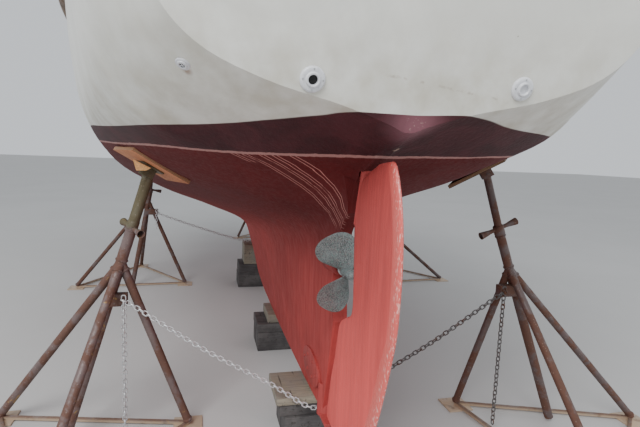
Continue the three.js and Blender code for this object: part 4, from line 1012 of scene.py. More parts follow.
def tinted_acrylic(name):
    """Dark smoked acrylic with fine crazing."""
    nodes = Finish(name, coat=0.6)
    where = nodes.place()
    haze = nodes.mottle(where, 8.0, 0.3, 0.75)
    craze = nodes.ramp(nodes.noise(where, 160.0, 5.0, 0.7), 0.6, 0.72)
    return nodes.done(nodes.mix(haze, SMOKE_DARK, SMOKE), nodes.blend(craze, 0.06, 0.3), craze, 0.0001, 0.4)


# Hull and deck

# One row a section plane: X at the waterline, lean (X per Z), then Y and Z of the sheer, topside, quarter,
# bilge, floor, inner floor, garboard, keel side and keel foot
HULL = (
    (-28, -0.306, 790, 1000, 735, 560, 692, 360, 600, 262, 430, 190, 200, 135, 60, 92, 22, 76, 12, 73),
    (200, -0.295, 915, 990, 896, 520, 820, 290, 704, 160, 470, 65, 240, 18, 80, -10, 26, -22, 20, -30),
    (318, -0.285, 962, 986, 934, 500, 868, 240, 746, 98, 530, 10, 300, -35, 85, -70, 26, -88, 22, -97),
    (330, -0.283, 965, 986, 939, 498, 874, 236, 753, 91, 534, 5, 298, -42, 55, -130, 32, -650, 22, -1195),
    (800, -0.26, 1085, 980, 1060, 450, 1000, 160, 900, 45, 650, -105, 350, -212, 85, -345, 48, -700,
     30, -1200),
    (1600, -0.15, 1285, 975, 1252, 450, 1195, 150, 1095, -15, 800, -185, 450, -320, 160, -470, 85, -800,
     36, -1200),
    (2500, -0.05, 1502, 975, 1480, 600, 1410, 240, 1228, -75, 880, -290, 480, -440, 195, -590, 95, -850,
     33, -1200),
    (3200, 0, 1592, 980, 1580, 600, 1500, 200, 1290, -130, 900, -350, 500, -500, 190, -640, 95, -880,
     26, -1175),
    (3700, 0.02, 1610, 985, 1597, 600, 1508, 200, 1294, -136, 897, -360, 492, -512, 185, -640, 85, -820,
     20, -1030),
    (4200, 0.05, 1615, 995, 1600, 600, 1510, 200, 1290, -140, 890, -370, 480, -520, 180, -620, 75, -720,
     18, -800),
    (5200, 0.2, 1530, 1018, 1490, 600, 1370, 200, 1110, -140, 740, -360, 400, -480, 165, -570, 70, -640,
     18, -690),
    (6200, 0.4, 1300, 1058, 1220, 620, 1040, 200, 780, -120, 500, -310, 270, -430, 125, -500, 60, -550,
     20, -590),
    (7000, 0.7, 960, 1114, 830, 650, 640, 220, 430, -80, 260, -230, 140, -310, 75, -355, 45, -390, 22, -410),
    (7500, 0.95, 560, 1175, 430, 700, 270, 250, 150, 20, 90, -60, 55, -95, 38, -115, 28, -130, 18, -140),
    (7720, 0.95, 30, 1210, 27, 720, 24, 300, 22, 100, 20, 30, 18, 10, 17, 0, 16, -8, 14, -14),
)
# Turn of a wood grain that runs across the boat
ATHWART = (0, 0, math.pi / 2)
# Runs of sections: first X, last X, number of equal steps
STATION_RUNS = ((-28, 318, 14), (330, 800, 14), (800, 2500, 22), (2500, 4200, 18), (4200, 7000, 32),
                (7000, 7500, 10), (7500, 7720, 6))
CAMBER = 0.045
DECK_THICKNESS = 25
DECK_STEPS = 16
SIDE_STEPS = 5
APERTURE = ((200, -205), (372, -214), (475, -282), (532, -380), (554, -470), (556, -560), (546, -640),
            (525, -705), (500, -745), (300, -745))
TRUNK = ((2450, 930, 810, 1400, 75), (4200, 900, 780, 1425, 70), (5400, 760, 650, 1400, 60),
         (6100, 600, 520, 1370, 45))
TRUNK_STATIONS = (2450, 3300, 4200, 4800, 5400, 5800, 6100)
STERN_LEAN = -0.283
RUDDER_AXIS_X = 275
PROPELLER = {"x": 442, "z": -468}
# Radius and distance ahead of the propeller
STERN_TUBE = ((17.5, 75), (33, 75), (38, 82), (40, 110), (46, 170), (52, 230), (17.5, 230))


def hull_stations(last=7720):
    stations = []
    for first, end, steps in STATION_RUNS:
        stations += [first + (end - first) * step / steps for step in range(steps + 1)]
    return [x for x in dict.fromkeys(stations) if x <= last]


def section(x):
    """The lean of a section plane and its corners, as (Y, Z) vectors in millimetres."""
    lean, *flat = [between(HULL, column, x) for column in range(1, len(HULL[0]))]
    return lean, [Vector((0, y, z)) for y, z in zip(flat[::2], flat[1::2])]


def deck_point(x, fraction, lift=0.0):
    """A point on the deck's line, from -1 (starboard edge) to 1 (port edge)."""
    lean, corners = section(x)
    _, half_beam, sheer = corners[0]
    z = sheer + CAMBER * half_beam * (1 - fraction * fraction)
    return Vector((x + lean * z, fraction * half_beam, z + lift))


def side_line(x):
    """The port side of a section, from the sheer to the keel's foot."""
    lean, corners = section(x)
    return [Vector((x + lean * point.z, point.y, point.z)) for point in smooth_line(corners, SIDE_STEPS)]


def across_line(x, lift):
    """The deck's line from starboard to port."""
    return [deck_point(x, 2 * step / DECK_STEPS - 1, lift) for step in range(DECK_STEPS + 1)]


def hull_form():
    form = bmesh.new()
    rings = []
    for x in hull_stations():
        port = side_line(x)
        starboard = [Vector((p.x, -p.y, p.z)) for p in reversed(port)]
        rings.append([at(*p) for p in [*port, *starboard, *across_line(x, 0)[1:-1]]])
    loft(form, rings)
    face_outward(form)
    return form


def layer_form(low, high):
    """The space between two heights above the hull's deck line."""
    form = bmesh.new()
    rings = []
    for x in hull_stations():
        top, under = across_line(x, high), across_line(x, low)
        rings.append([at(*p) for p in [*top, *reversed(under)]])
    loft(form, rings)
    face_outward(form)
    return form


def cabin_space():
    """The room inside the cabin trunk and under it."""
    form = bmesh.new()
    rings = []
    inset, drop, floor_z = 40, 35, 150
    for index, station in enumerate(TRUNK_STATIONS):
        fore = index == len(TRUNK_STATIONS) - 1
        x = 2490 if index == 0 else station - (1.5 * inset if fore else 0)
        base, edge, edge_z, rise = (between(TRUNK, column, station) for column in range(1, 5))
        outline = [
            (base - inset + (1000 - floor_z) * 0.1, floor_z), (base - inset, 1000),
            (edge - inset, edge_z - 40), (edge - inset - 45, edge_z - drop),
            (edge * 0.5, edge_z - drop + rise * 0.75), (0, edge_z - drop + rise),
        ]
        outline += [(-y, z) for y, z in reversed(outline[:-1])]
        lean = -0.7 if fore else 0
        rings.append([at(x + lean * max(z - 1000, 0), y, z) for y, z in outline])
    loft(form, rings)
    face_outward(form)
    return form


def aperture_form():
    """The propeller's opening between the keel and the rudder."""
    form = bmesh.new()
    corners = smooth_line([Vector((x, 0, z)) for x, z in APERTURE], 3)
    loft(form, [[at(p.x, y, p.z) for p in corners] for y in (-200, 200)])
    face_outward(form)
    return form


def axis_point(z):
    """A point on the rudder's turning axis."""
    return at(RUDDER_AXIS_X + STERN_LEAN * z, 0, z)


def rod_form(start, end, radius):
    form = bmesh.new()
    tube(form, [start, end], radius, 24)
    face_outward(form)
    return form


def companion_form():
    return box_form((2380, 2500), (-290, 290), (640, 1700))


def build_hull(settings):
    paint = settings.yacht_paint
    skin = hull_form()
    outside = BVHTree.FromBMesh(skin)
    cutters = [
        aperture_form(), box_form((10, 2400), (-700, 700), (560, 1400)),
        box_form((70, 2200), (-310, 310), (230, 561)), cabin_space(), companion_form(),
        box_form((2490, 5500), (-330, 330), (-250, 151)), box_form((1650, 2491), (-290, 290), (-270, 180)),
        rod_form(axis_point(-300), axis_point(300), 0.026),
        *(box_form((1340, 2140), mirrored(375, 620, sign), (300, 561)) for _, sign in SIDES),
    ]
    body = cut_out(skin, cutters)
    for face in body.faces:
        middle = face.calc_center_median()
        inside = outside.find_nearest(middle)[3] > 0.004
        place = (middle - BOAT_ORIGIN) * 1000
        if inside and (place.x > 800 or place.z > 200):
            face.material_index = 2 if place.x > 2445 or place.z < 190 else 1
    hub = at(PROPELLER["x"], 0, PROPELLER["z"])
    lathe(body, scaled(STERN_TUBE), hub, FORWARD, 48, closed=True)
    cockpit = gelcoat("cockpit_gelcoat", paint.deck, paint.deck_grip)
    piece = finish_piece("hull_skin", body, SHIP, "antifouling_and_gelcoat", hull_paint(paint), cockpit,
                         gelcoat("cabin_lining", (0.62, 0.58, 0.50)), crease=28, outward=False)
    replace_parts(piece, "hull")


def rail_form(stations, corners, sign, on_side):
    """A rail along the sheer. Each corner is its distance out from and up over the deck's edge."""
    form = bmesh.new()
    rings = []
    for x in stations:
        edge, below = side_line(x)[0], side_line(x)[2]
        inner = deck_point(x, 0.75, DECK_THICKNESS)
        if not on_side:
            edge = edge + Vector((0, 0, DECK_THICKNESS + 0.6))
        ring = []
        for out, up in corners:
            if on_side:
                share = max(-up, 0) / (edge.z - below.z)
                point = edge.lerp(below, share) + Vector((0, out, max(up, 0)))
            else:
                point = edge.lerp(inner, -out / (edge.y - inner.y))
                point.z += up
            ring.append(at(point.x, sign * point.y, point.z))
        rings.append(ring)
    loft(form, rings)
    return form


RUB_RAIL = ((1.2, 0), (1.2, 18), (18, 16), (30, 10), (35, 0), (37, -8), (38.5, -14), (38.5, -24), (36, -34),
            (30, -42), (18, -47), (1.2, -48))
TOE_RAIL = ((-8, 0), (-8, 34), (-11, 39), (-15, 40), (-25, 40), (-29, 38), (-31, 34), (-34, 0))
RAIL_INLAY = ((37.4, -8), (41, -10), (42.5, -14), (42.5, -24), (41, -28), (37.4, -30))


def build_deck(settings):
    paint = settings.yacht_paint
    timbers = settings.yacht_timber
    deck = cut_out(layer_form(0.3, DECK_THICKNESS), [
        box_form((10, 2400), (-700, 700), (800, 1400)), cabin_space(), companion_form(),
    ])
    grip = gelcoat("deck_gelcoat_grip", paint.deck, paint.deck_grip)
    plate = finish_piece("deck_plate", deck, SHIP, "deck_gelcoat", grip, outward=False)
    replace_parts(plate, "deck")
    teak = timber("weathered_teak", timbers.teak, fineness=70.0, weathered=0.7)
    rubber = plastic("rail_strip", (0.43, 0.33, 0.29), 0.5)
    stations = hull_stations(7500)
    for side, sign in SIDES:
        rub = rail_form(stations, RUB_RAIL, sign, True)
        strip = rail_form(stations, RAIL_INLAY, sign, True)
        face_outward(strip)
        add_part(rub, strip, 1)
        rail = finish_piece(f"rub_rail_{side}_finished", rub, SHIP, "teak", teak, rubber)
        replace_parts(rail, f"rub_rail_{side}")
        toe = rail_form([x for x in stations if x >= 60], TOE_RAIL, sign, False)
        rail = finish_piece(f"toe_rail_{side}_finished", toe, SHIP, "teak", teak)
        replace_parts(rail, f"toe_rail_{side}")
        line = []
        for x in stations[8:-4]:
            edge = deck_point(x, 1, DECK_THICKNESS)
            inner = deck_point(x, 0.75, DECK_THICKNESS)
            spot = edge.lerp(inner, 20 / (edge.y - inner.y))
            line.append(at(spot.x, sign * spot.y, spot.z + 40.2))
        plug = bmesh.new()
        lathe(plug, [(0.006, -0.002), (0.006, 0.0006), (0.004, 0.0012), (0, 0.0013)], Vector(), UP, 10)
        repeat_along(f"toe_rail_plugs_{side}", line, plug, 0.22, 0.0, SHIP, "teak",
                     timber("teak_plug", timbers.varnish, turn=(0, 1.57, 0)))


# Rudder, heel fitting and propeller

# Level sections: leading edge X and Z, trailing edge X and Z, half thickness
RUDDER = (
    (150, -24, 45, -12, 10), (318, -98, 30, -18, 17), (356, -165, -2, -65, 20), (369, -238, -40, -160, 20),
    (361, -340, -62, -290, 20), (347, -480, -63, -440, 20), (349, -605, -51, -560, 20),
    (424, -650, -33, -628, 20), (502, -700, -15, -690, 20), (530, -780, 15, -780, 20),
    (556, -880, 55, -885, 20), (588, -965, 97, -968, 20), (612, -1060, 145, -1065, 20),
    (630, -1140, 205, -1145, 20), (638, -1185, 255, -1190, 17),
)
# Along the chord from the leading edge, with the share of the thickness
FOIL = ((0.003, 0.22), (0.012, 0.45), (0.03, 0.68), (0.06, 0.85), (0.12, 0.96), (0.22, 1), (0.4, 0.98),
        (0.55, 0.92), (0.7, 0.79), (0.82, 0.66), (0.9, 0.55), (0.95, 0.47), (0.975, 0.4), (0.99, 0.28),
        (0.997, 0.15))


def build_rudder(settings):
    paint = settings.yacht_paint
    form = bmesh.new()
    share = form.verts.layers.float.new("chord")
    noses = smooth_line([Vector((row[0], row[4], row[1])) for row in RUDDER], 4)
    tails = smooth_line([Vector((row[2], 0, row[3])) for row in RUDDER], 4)
    outline = [(0, 0), *FOIL, (1, 0), *((chord, -half) for chord, half in reversed(FOIL))]
    rings = []
    for nose, tail in zip(noses, tails):
        back = tail - nose
        rings.append([at(nose.x + back.x * chord, nose.y * half, nose.z + back.z * chord)
                      for chord, half in outline])
    for ring in loft(form, rings):
        for vertex, (chord, _) in zip(ring, outline):
            vertex[share] = chord
    tube(form, [axis_point(-255), axis_point(-20)], 0.020, 32)
    tube(form, [axis_point(-20), axis_point(700)], 0.020, 32, slot=1)
    collar = ((0, 0), (34, 0), (36, 3), (36, 86), (33, 90), (0, 90))
    lathe(form, scaled(collar), axis_point(600), axis_point(690) - axis_point(600), 40, slot=1)
    metal = polished_metal("rudder_stock_bronze", (0.50, 0.36, 0.20), 0.38)
    paint_finish = antifouling_paint(paint, "rudder_paint", paint.rudder, True)
    piece = finish_piece("rudder_blade", form, STEERING, "antifouling", paint_finish, metal)
    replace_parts(piece, "rudder")

    route = smooth_line([at(127, 0, 657), at(400, 0, 735), at(750, 0, 850), at(1180, 0, 965)], 8)
    radii = [mm(19 - 5 * index / (len(route) - 1)) for index in range(len(route))]
    radii[-1] = 0.009
    bar = bmesh.new()
    tube(bar, route, radii, 24)
    for end in (0, 3):
        lathe(bar, [(0.0195, -0.02), (0.0225, -0.018), (0.0225, 0.018), (0.0195, 0.02)], route[2 + end],
              route[3 + end] - route[2 + end], 24, slot=1, closed=True)
    wood = timber("varnished_teak", settings.yacht_timber.varnish, fineness=80.0, varnish=0.7,
                  turn=(0, 0.28, 0))
    tiller = finish_piece("tiller_bar", bar, STEERING, "teak", wood, metal)
    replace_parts(tiller, "tiller")


def build_heel_fitting(settings):
    paint = settings.yacht_paint
    finish = antifouling_paint(paint, "heel_paint", tone(paint.rudder, 0.72)[:3], False)
    soften("rudder_heel_fitting", 0.003, SHIP, "bronze", finish, crease=40)
    form = bmesh.new()
    for sign in (1, -1):
        for x, z in ((760, -1060), (830, -1022), (830, -1098), (930, -1022), (930, -1098), (1000, -1060)):
            lathe(form, [(0, 0.0), (0.009, 0.0), (0.009, 0.002), (0.006, 0.005), (0, 0.006)],
                  at(x, sign * 39.5, z), Vector((0, sign, 0)), 16)
    finish_piece("heel_fitting_rivets", form, SHIP, "bronze", finish)


# Radius, half chord, pitch in degrees, half thickness
BLADE = ((15, 34, 56, 7), (50, 62, 40, 6), (92, 88, 29, 5), (130, 86, 23, 4), (158, 66, 18, 3),
         (172, 37, 15.5, 2), (175, 17, 15, 1.4))
BLADE_TURNS = (210, 330, 450)
# Radius and distance behind the blades' middle
PROPELLER_HUB = ((0, -44), (18, -42), (26, -36), (27, -20), (26, 10), (22, 34), (19, 36), (19, 40), (12, 52),
                 (5, 56), (0, 57))


def build_propeller(settings):
    metals = settings.yacht_metal
    form = bmesh.new()
    hub = at(PROPELLER["x"], 0, PROPELLER["z"])
    aft = Vector((-1, 0, 0))
    rows = smooth_line([Vector((radius, half, pitch)) for radius, half, pitch, _ in BLADE], 5)
    thickness = smooth_line([Vector((row[3], 0, row[0])) for row in BLADE], 5)
    for turn in BLADE_TURNS:
        spin = Matrix.Rotation(math.radians(turn), 3, "X")
        rings = []
        for (radius, half, pitch), thick in zip(rows, thickness):
            angle = math.radians(pitch)
            ring = []
            for side in range(20):
                way = 2 * math.pi * side / 20
                chord, depth = half * math.cos(way), thick.x * math.sin(way)
                flat = Vector((chord * math.sin(angle) + depth * math.cos(angle),
                               chord * math.cos(angle) - depth * math.sin(angle), radius))
                ring.append(hub + spin @ flat / 1000)
            rings.append(ring)
        loft(form, rings)
    lathe(form, scaled(PROPELLER_HUB), hub, aft, 40)
    tube(form, [hub + Vector((0.04, 0, 0)), hub + Vector((0.2, 0, 0))], 0.017, 32, slot=1)
    anode = ((17.1, 46), (27, 47), (29, 54), (27, 66), (17.1, 67))
    lathe(form, scaled(anode), hub, -aft, 32, slot=2, closed=True)
    nut = bmesh.new()
    lathe(nut, [(0, 0.035), (0.0215, 0.035), (0.0215, 0.045), (0.0195, 0.047), (0, 0.047)], hub, aft, 6)
    add_part(form, nut, 0)
    piece = finish_piece("propeller_cast", form, "propeller", "bronze",
                         bronze("propeller_bronze", metals.bronze),
                         polished_metal("propeller_shaft_steel", metals.stainless, 0.22),
                         plastic("shaft_anode", (0.48, 0.49, 0.49), 0.5))
    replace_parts(piece, "propeller")


# Fittings on the transom and the quarter

def build_outlets(settings):
    white = plastic("outlet_plastic", (0.70, 0.71, 0.74), 0.3)
    dark = plastic("outlet_bore_painted_shade", (0.008, 0.008, 0.008), 0.6)
    normal = Vector((-1, 0, -0.306)).normalized()
    rings = ((13, 1), (13, 13), (15, 15.5), (18, 15.5), (20, 13), (21, 9), (25, 9.5), (30, 9), (33.5, 6.5),
             (35, 3), (35, 0), (13, 0))
    for side, y, z in (("port", 300, 197), ("starboard", -332, 216)):
        form = bmesh.new()
        origin = at(-28.5 - 0.306 * z, y, z)
        lathe(form, scaled(rings), origin, normal, 56, closed=True)
        # Painted shade: on the port outlet a near-black disc just inside the ring stands for the shade in its
        # bore
        depth = 0.0025 if side == "port" else 0.007
        lathe(form, [(0, 0.0004), (0.0132, 0.0004), (0.0132, depth), (0, depth)], origin, normal, 40,
              slot=1 if side == "port" else 0)
        for screw in range(4):
            angle = math.pi / 4 + screw * math.pi / 2
            across, up = side_axes(normal)
            spot = origin + (across * math.cos(angle) + up * math.sin(angle)) * 0.0275
            head = ((0, 8), (2.8, 8), (2.6, 10.2), (0, 10.8))
            lathe(form, scaled(head), spot, normal, 12, slot=2)
        piece = finish_piece(f"transom_outlet_{side}_finished", form, SHIP, "white_plastic", white, dark,
                             polished_metal("fastener_steel", settings.yacht_metal.stainless, 0.3))
        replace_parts(piece, f"transom_outlet_{side}")
    low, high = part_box("quarter_vent")
    middle = (low + high) / 2
    hull = BVHTree.FromBMesh(node_form("hull"))
    place, slope, _, _ = hull.find_nearest(middle)
    form = bmesh.new()
    vent = ((8, 0.5), (8, 8), (11, 9), (14, 8), (15, 5.5), (19, 5), (21, 2.5), (21, 0.5))
    lathe(form, scaled(vent), place, slope, 40, closed=True)
    # Painted shade: a near-black disc inside the vent stands for the shade in its opening
    lathe(form, [(0, 0.0008), (0.0084, 0.0008), (0.0084, 0.003), (0, 0.003)], place, slope, 24, slot=1)
    across, up = side_axes(slope)
    for turn in (0, math.pi / 2):
        way = across * math.cos(turn) + up * math.sin(turn)
        tube(form, [place + slope * 0.006 - way * 0.0082, place + slope * 0.006 + way * 0.0082], 0.0012, 8)
    piece = finish_piece("quarter_vent_finished", form, SHIP, "white_plastic", white, dark)
    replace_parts(piece, "quarter_vent")


# Stands, pads, chains and blocks

# The point the screw aims at, its joint with the legs, the handle's turn, how far inboard and how far down
# the chain hooks on, and the three feet
STANDS = {
    "aft_port": ((1060, 824, -119), (1060, 946, -523), 55, (-8, 211),
                 ((1128, 640), (1351, 1612), (486, 1214))),
    "aft_starboard": ((800, -812, -53), (800, -1003, -531), 0, (41, 145),
                      ((1060, -920), (725, -1869), (70, -1100))),
    "middle_port": ((3950, 1070, -250), (3930, 1119, -526), 20, (80, 145),
                    ((3911, 747), (3871, 1824), (4780, 1300))),
    "middle_starboard": ((3900, -1150, -240), (3900, -1330, -640), 10, (34, 145),
                         ((3700, -1270), (3777, -2280), (4600, -1750))),
    "fore": ((6840, -350, -160), (6860, -390, -640), 0, (34, 145), ((6713, -35), (6620, -900), (7330, -560))),
}
# Radii of the middle tube, the screw and the sleeve
PIPE, SCREW_RADIUS, SLEEVE_RADIUS = 24, 20, 26
# The T-handle's hexagonal hub and one flared arm: radius and height
HANDLE_HUB = ((16, -12), (25, -12), (27, -9), (27, 9), (25, 12), (16, 12))
HANDLE_ARM = ((9, 0), (11, 50), (16.5, 85), (19.5, 109), (18.5, 110), (16.5, 108), (13.5, 83), (4, 60),
              (4, 0))
# A pad, how far its outer face stands off the hull at its middle, and the gap to the stand's plate
PAD_SIZE, PAD_THICKNESS = 300, 18
PAD_STAND_OFF, PLATE_GAP = 14, 0.3
# Plates and the thread, in metres
PLATE, FOOT_PLATE = (0.110, 0.110, 0.008), (0.150, 0.150, 0.008)
THREAD_DEPTH, THREAD_PITCH = 0.0022, 0.008
# Shares of the way from the legs' joint to the hull: the middle tube's top, the nut's foot, the nut's
# height and the handle
TUBE_TOP, NUT_FOOT, NUT_HEIGHT, HANDLE = 0.32, 0.31, 0.085, 0.365
# The after port stand has a sleeve over its screw: its handle, both ends of the sleeve and the handle's turn
SLEEVED_HANDLE, SLEEVE, SLEEVED_HANDLE_TURN = 0.31, (0.3, 0.86), 120
# A pad's turn about the hull's normal where it isn't 45 degrees, and the Y and Z of the wedge under it
PAD_TURNS = {"aft_port": math.radians(-21)}
PAD_WEDGE = ((886, -54), (808, -92), (830, -104), (872, -104))


def stand_axis(name, hull):
    """The screw's line, and where and how steeply it meets the hull."""
    aim, junction = STANDS[name][:2]
    start = at(*junction)
    up = (at(*aim) - start).normalized()
    sideways = FORWARD.cross(up).normalized()
    probes = [hull.ray_cast(start + Quaternion(up, math.radians(turn)) @ sideways * 0.110, up)[0]
              for turn in (0, 120, 240)]
    normal = (probes[1] - probes[0]).cross(probes[2] - probes[0]).normalized()
    if normal.dot(up) > 0:
        normal.negate()
    point = hull.ray_cast(start, up)[0]
    return start, up, normal, point, (point - start).length


def threaded_rod(form, start, end, radius):
    """A screw with its thread, as rings that follow the helix."""
    along = end - start
    heading = along.normalized()
    across, up = side_axes(heading)
    steps = int(along.length / THREAD_PITCH * 4)
    rings = []
    for step in range(steps + 1):
        distance = along.length * step / steps
        ring = []
        for side in range(18):
            turn = 2 * math.pi * side / 18
            crest = abs((distance / THREAD_PITCH - side / 18) % 1 - 0.5) * 2
            size = radius - THREAD_DEPTH + THREAD_DEPTH * min(1.0, crest * 1.6)
            ring.append(start + heading * distance + (across * math.cos(turn) + up * math.sin(turn)) * size)
        rings.append(ring)
    loft(form, rings)


def weld(form, place, axis, radius):
    """A bead of weld round a pipe."""
    bead = ((-0.002, -0.007), (0.004, -0.003), (0.0045, 0.002), (-0.002, 0.007))
    lathe(form, [(radius + out, height) for out, height in bead], place, axis, 24, closed=True)


def stand_form(name, hull):
    aim, (x, y, z), handle_turn, (inboard, drop), feet = STANDS[name]
    start, up, normal, point, length = stand_axis(name, hull)
    form = bmesh.new()
    sleeved = name == "aft_port"
    pipe = mm(SLEEVE_RADIUS if sleeved else PIPE)
    foot_end = (at(0, 0, FLOOR_Z + 30).z - start.z) / up.z
    tube_end, hub_at = length * TUBE_TOP, length * (SLEEVED_HANDLE if sleeved else HANDLE)

    def along(distance):
        return start + up * distance

    tube(form, [along(foot_end), along(tube_end)], pipe, 28)
    for distance in (foot_end * 0.02, tube_end - 0.016):
        weld(form, along(distance), up, pipe)
    nut = length * NUT_HEIGHT
    lathe(form, [(0.017, -0.004), (0.026, -0.004), (0.028, 0), (0.028, nut - 0.006), (0.025, nut),
                 (0.017, nut)], along(length * NUT_FOOT), up, 28, closed=True)
    plate_at = point + normal * mm(PAD_STAND_OFF + PLATE_GAP)
    threaded_rod(form, along(length * NUT_FOOT), plate_at + normal * 0.034, mm(SCREW_RADIUS))
    if sleeved:
        tube(form, [along(length * share) for share in SLEEVE], mm(SLEEVE_RADIUS), 28)
    turn = math.radians(SLEEVED_HANDLE_TURN if sleeved else handle_turn)
    tee = Quaternion(up, turn) @ Vector((0, up.z, -up.y)).normalized()
    hub = along(hub_at)
    lathe(form, scaled(HANDLE_HUB), hub, up, 6, closed=True)
    for way in (-1, 1):
        lathe(form, scaled(HANDLE_ARM), hub, tee * way, 20, closed=True)
    place = facing(plate_at + normal * 0.004, normal)
    slab(form, PLATE, place, 0.0015)
    for shift in (-0.024, 0.024):
        slab(form, (0.009, 0.056, 0.046), place @ Matrix.Translation((shift, 0, 0.026)), 0.001)
    pin = place @ Vector((-0.034, 0, 0.032)), place @ Vector((0.034, 0, 0.032))
    tube(form, list(pin), 0.006, 16)
    for foot_x, foot_y in feet:
        foot = at(foot_x, foot_y, FLOOR_Z + 26)
        tube(form, [along(-0.03), foot], pipe * 0.8, 24)
        weld(form, along(-0.03).lerp(foot, 0.045), foot - along(-0.03), pipe * 0.8)
        weld(form, foot + (along(-0.03) - foot).normalized() * 0.012, foot - along(-0.03), pipe * 0.8)
        slab(form, FOOT_PLATE, Matrix.Translation(at(foot_x, foot_y, FLOOR_Z + 4)), 0.0015)
    for (x0, y0), (x1, y1) in pairwise([*feet, feet[0]]):
        first, second = at(x0, y0, FLOOR_Z + 16), at(x1, y1, FLOOR_Z + 16)
        run = second - first
        turned = run.to_track_quat("X", "Z").to_matrix().to_4x4()
        slab(form, (run.length, 0.020, 0.017), Matrix.Translation((first + second) / 2) @ turned, 0.0015)
    hook_y = y - math.copysign(inboard, y)
    tube_y = y - drop * (aim[1] - y) / (aim[2] - z)
    low, high = min(tube_y, hook_y - 12), max(tube_y, hook_y + 12)
    level = z - drop
    block(form, (x - 35, low, level - 30), (x + 10, high, level + 30), 0.002)
    tube(form, [at(x - 48, hook_y, level + 5), at(x - 20, hook_y, level + 5)], 0.005, 12)
    return form


def build_stands(settings):
    metals = settings.yacht_metal
    hull = BVHTree.FromBMesh(node_form("hull"))
    patched = rusty_steel(metals, "rusty_stand_patched", 0.09, olive_above=-0.37)
    plain = rusty_steel(metals, "rusty_stand_plain", -0.02, 0.72)
    # One plywood in three tones: painted light on the after port pad, painted shade on the after starboard
    # pad, a middle tone on the others
    boards = {name: plywood(f"pad_plywood_{name}", tone(settings.yacht_timber.plywood, share)[:3])
              for name, share in (("painted_lit", 1.0), ("middling", 0.45), ("dark", 0.07))}
    wedge_wood = timber("pad_wedge", (0.85, 0.42, 0.17), fineness=70.0)
    for name in STANDS:
        finish = patched if name == "aft_port" else plain
        stand = finish_piece(f"jack_stand_{name}", stand_form(name, hull), SHIP, "rusty_steel", finish)
        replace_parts(stand, f"stand_{name}")
        _, _, normal, point, _ = stand_axis(name, hull)
        board = bmesh.new()
        along_hull = (FORWARD - normal * normal.x).normalized()
        turned = Quaternion(normal, PAD_TURNS.get(name, math.pi / 4)) @ along_hull
        square = Matrix((turned, normal.cross(turned), normal)).transposed().to_4x4()
        size = mm(PAD_SIZE, PAD_SIZE, PAD_THICKNESS)
        slab(board, size, Matrix.Translation(point + normal * 0.005) @ square, 0.0018)
        depth = board.verts.layers.float.new("ply")
        for vertex in board.verts:
            vertex[depth] = min(max(((vertex.co - point).dot(normal) + 0.004) / mm(PAD_THICKNESS), 0.0), 1.0)
        if name == "aft_port":
            loft(board, [[at(x, y, z) for y, z in PAD_WEDGE] for x in (976, 999)], slot=1)
        ply = boards[{"aft_port": "painted_lit", "aft_starboard": "dark"}.get(name, "middling")]
        pad = finish_piece(f"plywood_pad_{name}", board, SHIP, "plywood", ply, wedge_wood)
        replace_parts(pad, f"stand_pad_{name}")


# Port and starboard stand, X and Z under the keel, half width of the level part, bends as shares of the way
# out and of the drop, Z of the loose ends, distance from link to link
CHAINS = {
    "aft": ("aft_port", "aft_starboard", 790, -1240, 50, ((0.6, 0.45), (0.25, 0.79)), -1400, 0.0235),
    "middle": ("middle_port", "middle_starboard", 3860, -975, 130, ((0.55, 0.566),), -830, 0.0235),
}


def link_form(length, width, wire):
    """One chain link, long along X."""
    form = bmesh.new()
    half = width / 2 - wire / 2
    straight = length / 2 - width / 2
    rings = []
    for step in range(14):
        turn = 2 * math.pi * step / 14
        end = straight if math.cos(turn) > 0 else -straight
        middle = Vector((end + half * math.cos(turn), half * math.sin(turn), 0))
        outward = Vector((math.cos(turn), math.sin(turn), 0))
        rings.append(circle(middle, outward, UP, wire / 2, 6))
    loft(form, rings, closed=True)
    return form


def build_chains(settings):
    metals = settings.yacht_metal
    zinc = galvanised(metals, "chain_zinc")
    for name, (port, starboard, keel_x, keel_z, level_half, bends, loose_z, pitch) in CHAINS.items():
        ends = []
        for stand in (port, starboard):
            _, (x, y, z), _, (inboard, drop), _ = STANDS[stand]
            ends.append(Vector((x - 35 - 12 - 0.6, y - math.copysign(inboard, y), z - drop)))
        halves = []
        for end in ends:
            side = math.copysign(1, end.y)
            halves.append([
                end, Vector((end.x, end.y - side * 26, end.z - 14)),
                *(Vector((keel_x + out * (end.x - keel_x), out * end.y, end.z + fall * (keel_z - end.z)))
                  for out, fall in bends),
                Vector((keel_x, side * level_half, keel_z + 3)),
            ])
        route = [*halves[0], Vector((keel_x, 0, keel_z)), *reversed(halves[1])]
        lines = [smooth_line(route, 24)]
        lines += [[Vector((end.x, end.y, end.z + 16)), Vector((end.x, end.y, loose_z))] for end in ends]
        form = bmesh.new()
        for index, line in enumerate(lines):
            link = link_form(pitch + 2 * metals.link_wire * 0.93, metals.link_width, metals.link_wire)
            points = [at(*p) for p in line]
            run = repeat_along(f"chain_{name}_run_{index}", points, link, pitch, math.pi / 2, SHIP,
                               "galvanised_steel", zinc)
            form.from_mesh(run.data)
            bpy.data.objects.remove(run)
        chain = finish_piece(f"chain_{name}_links", form, SHIP, "galvanised_steel", zinc, crease=60,
                             outward=False)
        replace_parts(chain, f"chain_{name}")


# Layers from the floor up: after face X, half width, underside Z, top Z, timbers side by side
STACKS = {
    "aft": ((850, 160, -1470, -1320, 2), (863, 190, -1320, -1258, 1), (855, 208, -1258, -1216.5, 1)),
    "middle": ((2015, 165, -1470, -1330, 2), (2020, 168, -1330, -1264, 1), (2040, 90, -1264, -1200, 1)),
    "fore": ((3720, 182, -1470, -1330, 2), (3722, 176, -1330, -1215, 1), (3730, 122, -1215, -1000, 1)),
}
# A stack's length along the keel, and the gap between timbers side by side
STACK_DEPTH, STACK_GAP = 290, 12


